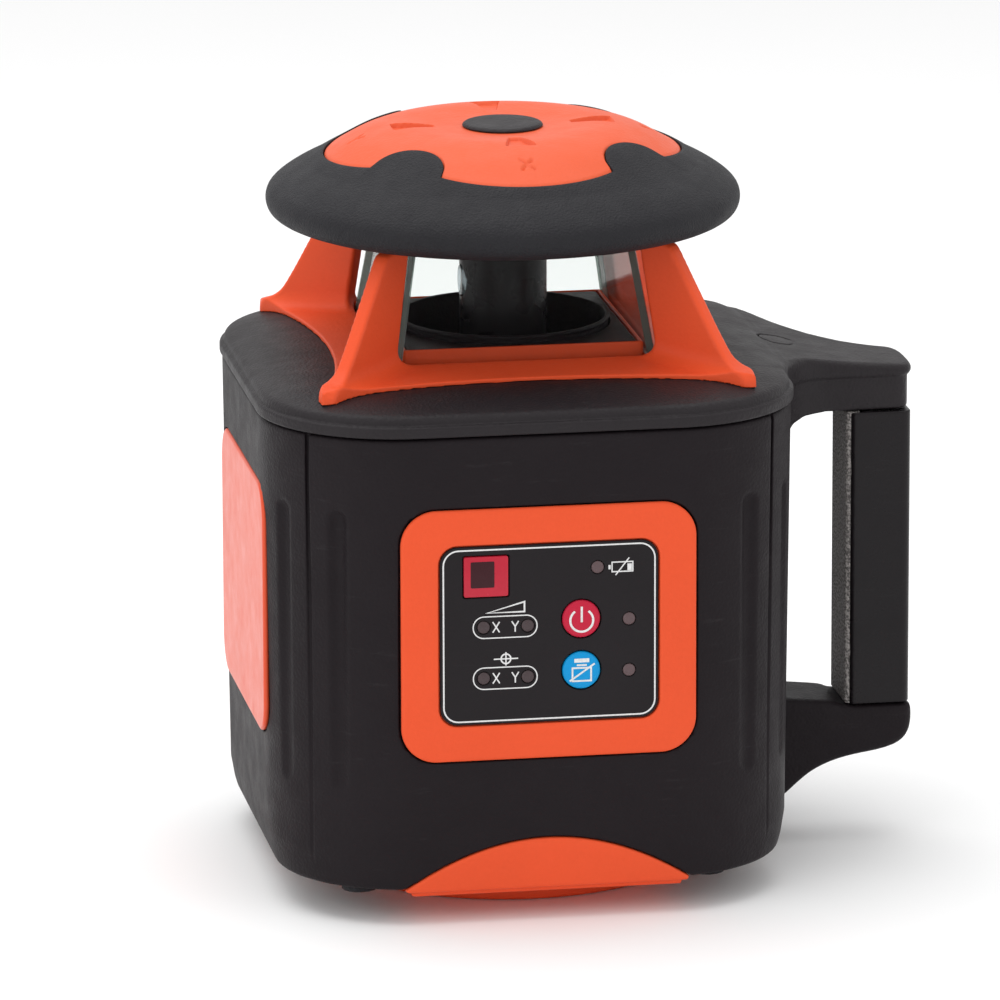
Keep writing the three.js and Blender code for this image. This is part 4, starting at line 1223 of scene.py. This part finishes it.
FINISH = (
    (BRASS, ("tripod_insert", "laser_module", "motor_pulley", "level_screw_x", "level_screw_y")),
    (STEEL, ("door_hinge_pin", "spindle_bearing", "drive_motor", "level_motor_x", "level_motor_y")),
    (ALUMINIUM, ("chassis", "gimbal_ring", "laser_barrel", "rotor_pulley")),
    (LENS, ("vial_x", "vial_y", "beam_lens", "pentaprism")),
    (CELL, ("battery_cell_1", "battery_cell_2")),
    (BOARD, ("keypad_board", "main_board")),
    (RUBBER, ("drive_belt", "corner_pad_1", "corner_pad_2", "corner_pad_3", "corner_pad_4")),
    (GLOSS, ("level_nut_x", "level_nut_y")),
    (DARK, ("battery_tray",)),
)
for material, nodes in FINISH:
    for node in nodes:
        if not NODES[node].material_slots:
            NODES[node].data.materials.append(material)
        for entry in NODES[node].material_slots:
            entry.material = material

# ---- floor, light and camera ----

floor_mesh = bpy.data.meshes.new("studio_floor")
floor_mesh.from_pydata([(-14, -14, -0.0002), (14, -14, -0.0002), (14, 14, -0.0002), (-14, 14, -0.0002)],
                       [], [(0, 1, 2, 3)])
floor = link("studio_floor", floor_mesh, None)
paper = Nodes("paper")
paper.principled({
    "Base Color": paper.mixed(paper.noise(3, 2), rgba(0.93, 0.93, 0.93), rgba(0.96, 0.96, 0.96)),
    "Roughness": 0.9, "Specular IOR Level": 0.1,
})
floor_mesh.materials.append(paper.material)

world = bpy.data.worlds.new("studio")
bpy.context.scene.world = world
world.use_nodes = True
world.node_tree.nodes["Background"].inputs["Color"].default_value = (1, 1, 1, 1)
world.node_tree.nodes["Background"].inputs["Strength"].default_value = 0.86

LIGHT_AIM = Vector((0, 0, 0.1))


def softbox(name, place, size, power):
    data = bpy.data.lights.new(name, "AREA")
    data.shape = "RECTANGLE"
    data.size, data.size_y = size
    data.energy = power
    lamp = bpy.data.objects.new(name, data)
    bpy.context.scene.collection.objects.link(lamp)
    lamp.location = place
    direction = LIGHT_AIM - Vector(place)
    lamp.rotation_euler = direction.to_track_quat("-Z", "Y").to_euler()


softbox("top_box", (-0.15, 0.15, 1.1), (1.2, 1.2), 8)
softbox("left_box", (-1.0, -0.7, 0.5), (0.7, 0.9), 2.2)
softbox("right_box", (1.0, -0.9, 0.6), (0.6, 0.8), 1.4)

CAMERA_AZ, CAMERA_EL, CAMERA_ROLL = radians(-9.58), radians(13.92), radians(-0.17)
CAMERA_DISTANCE = 2.5
CAMERA_LENS = 318.6
CAMERA_SHIFT = (-0.0036, -0.0108)
CAMERA_AIM = Vector((0, 0, 0.105))
back = Vector((sin(CAMERA_AZ) * cos(CAMERA_EL), -cos(CAMERA_AZ) * cos(CAMERA_EL), sin(CAMERA_EL)))
camera_data = bpy.data.cameras.new("camera")
camera_data.lens = CAMERA_LENS
camera_data.sensor_width = 36
camera_data.shift_x, camera_data.shift_y = CAMERA_SHIFT
camera_data.clip_end = 60
camera = bpy.data.objects.new("camera", camera_data)
bpy.context.scene.collection.objects.link(camera)
camera.location = CAMERA_AIM + back * CAMERA_DISTANCE
facing = (-back).to_track_quat("-Z", "Y").to_matrix() @ Matrix.Rotation(CAMERA_ROLL, 3, "Z")
camera.rotation_euler = facing.to_euler()
bpy.context.scene.camera = camera
bpy.context.scene.view_settings.view_transform = "Standard"
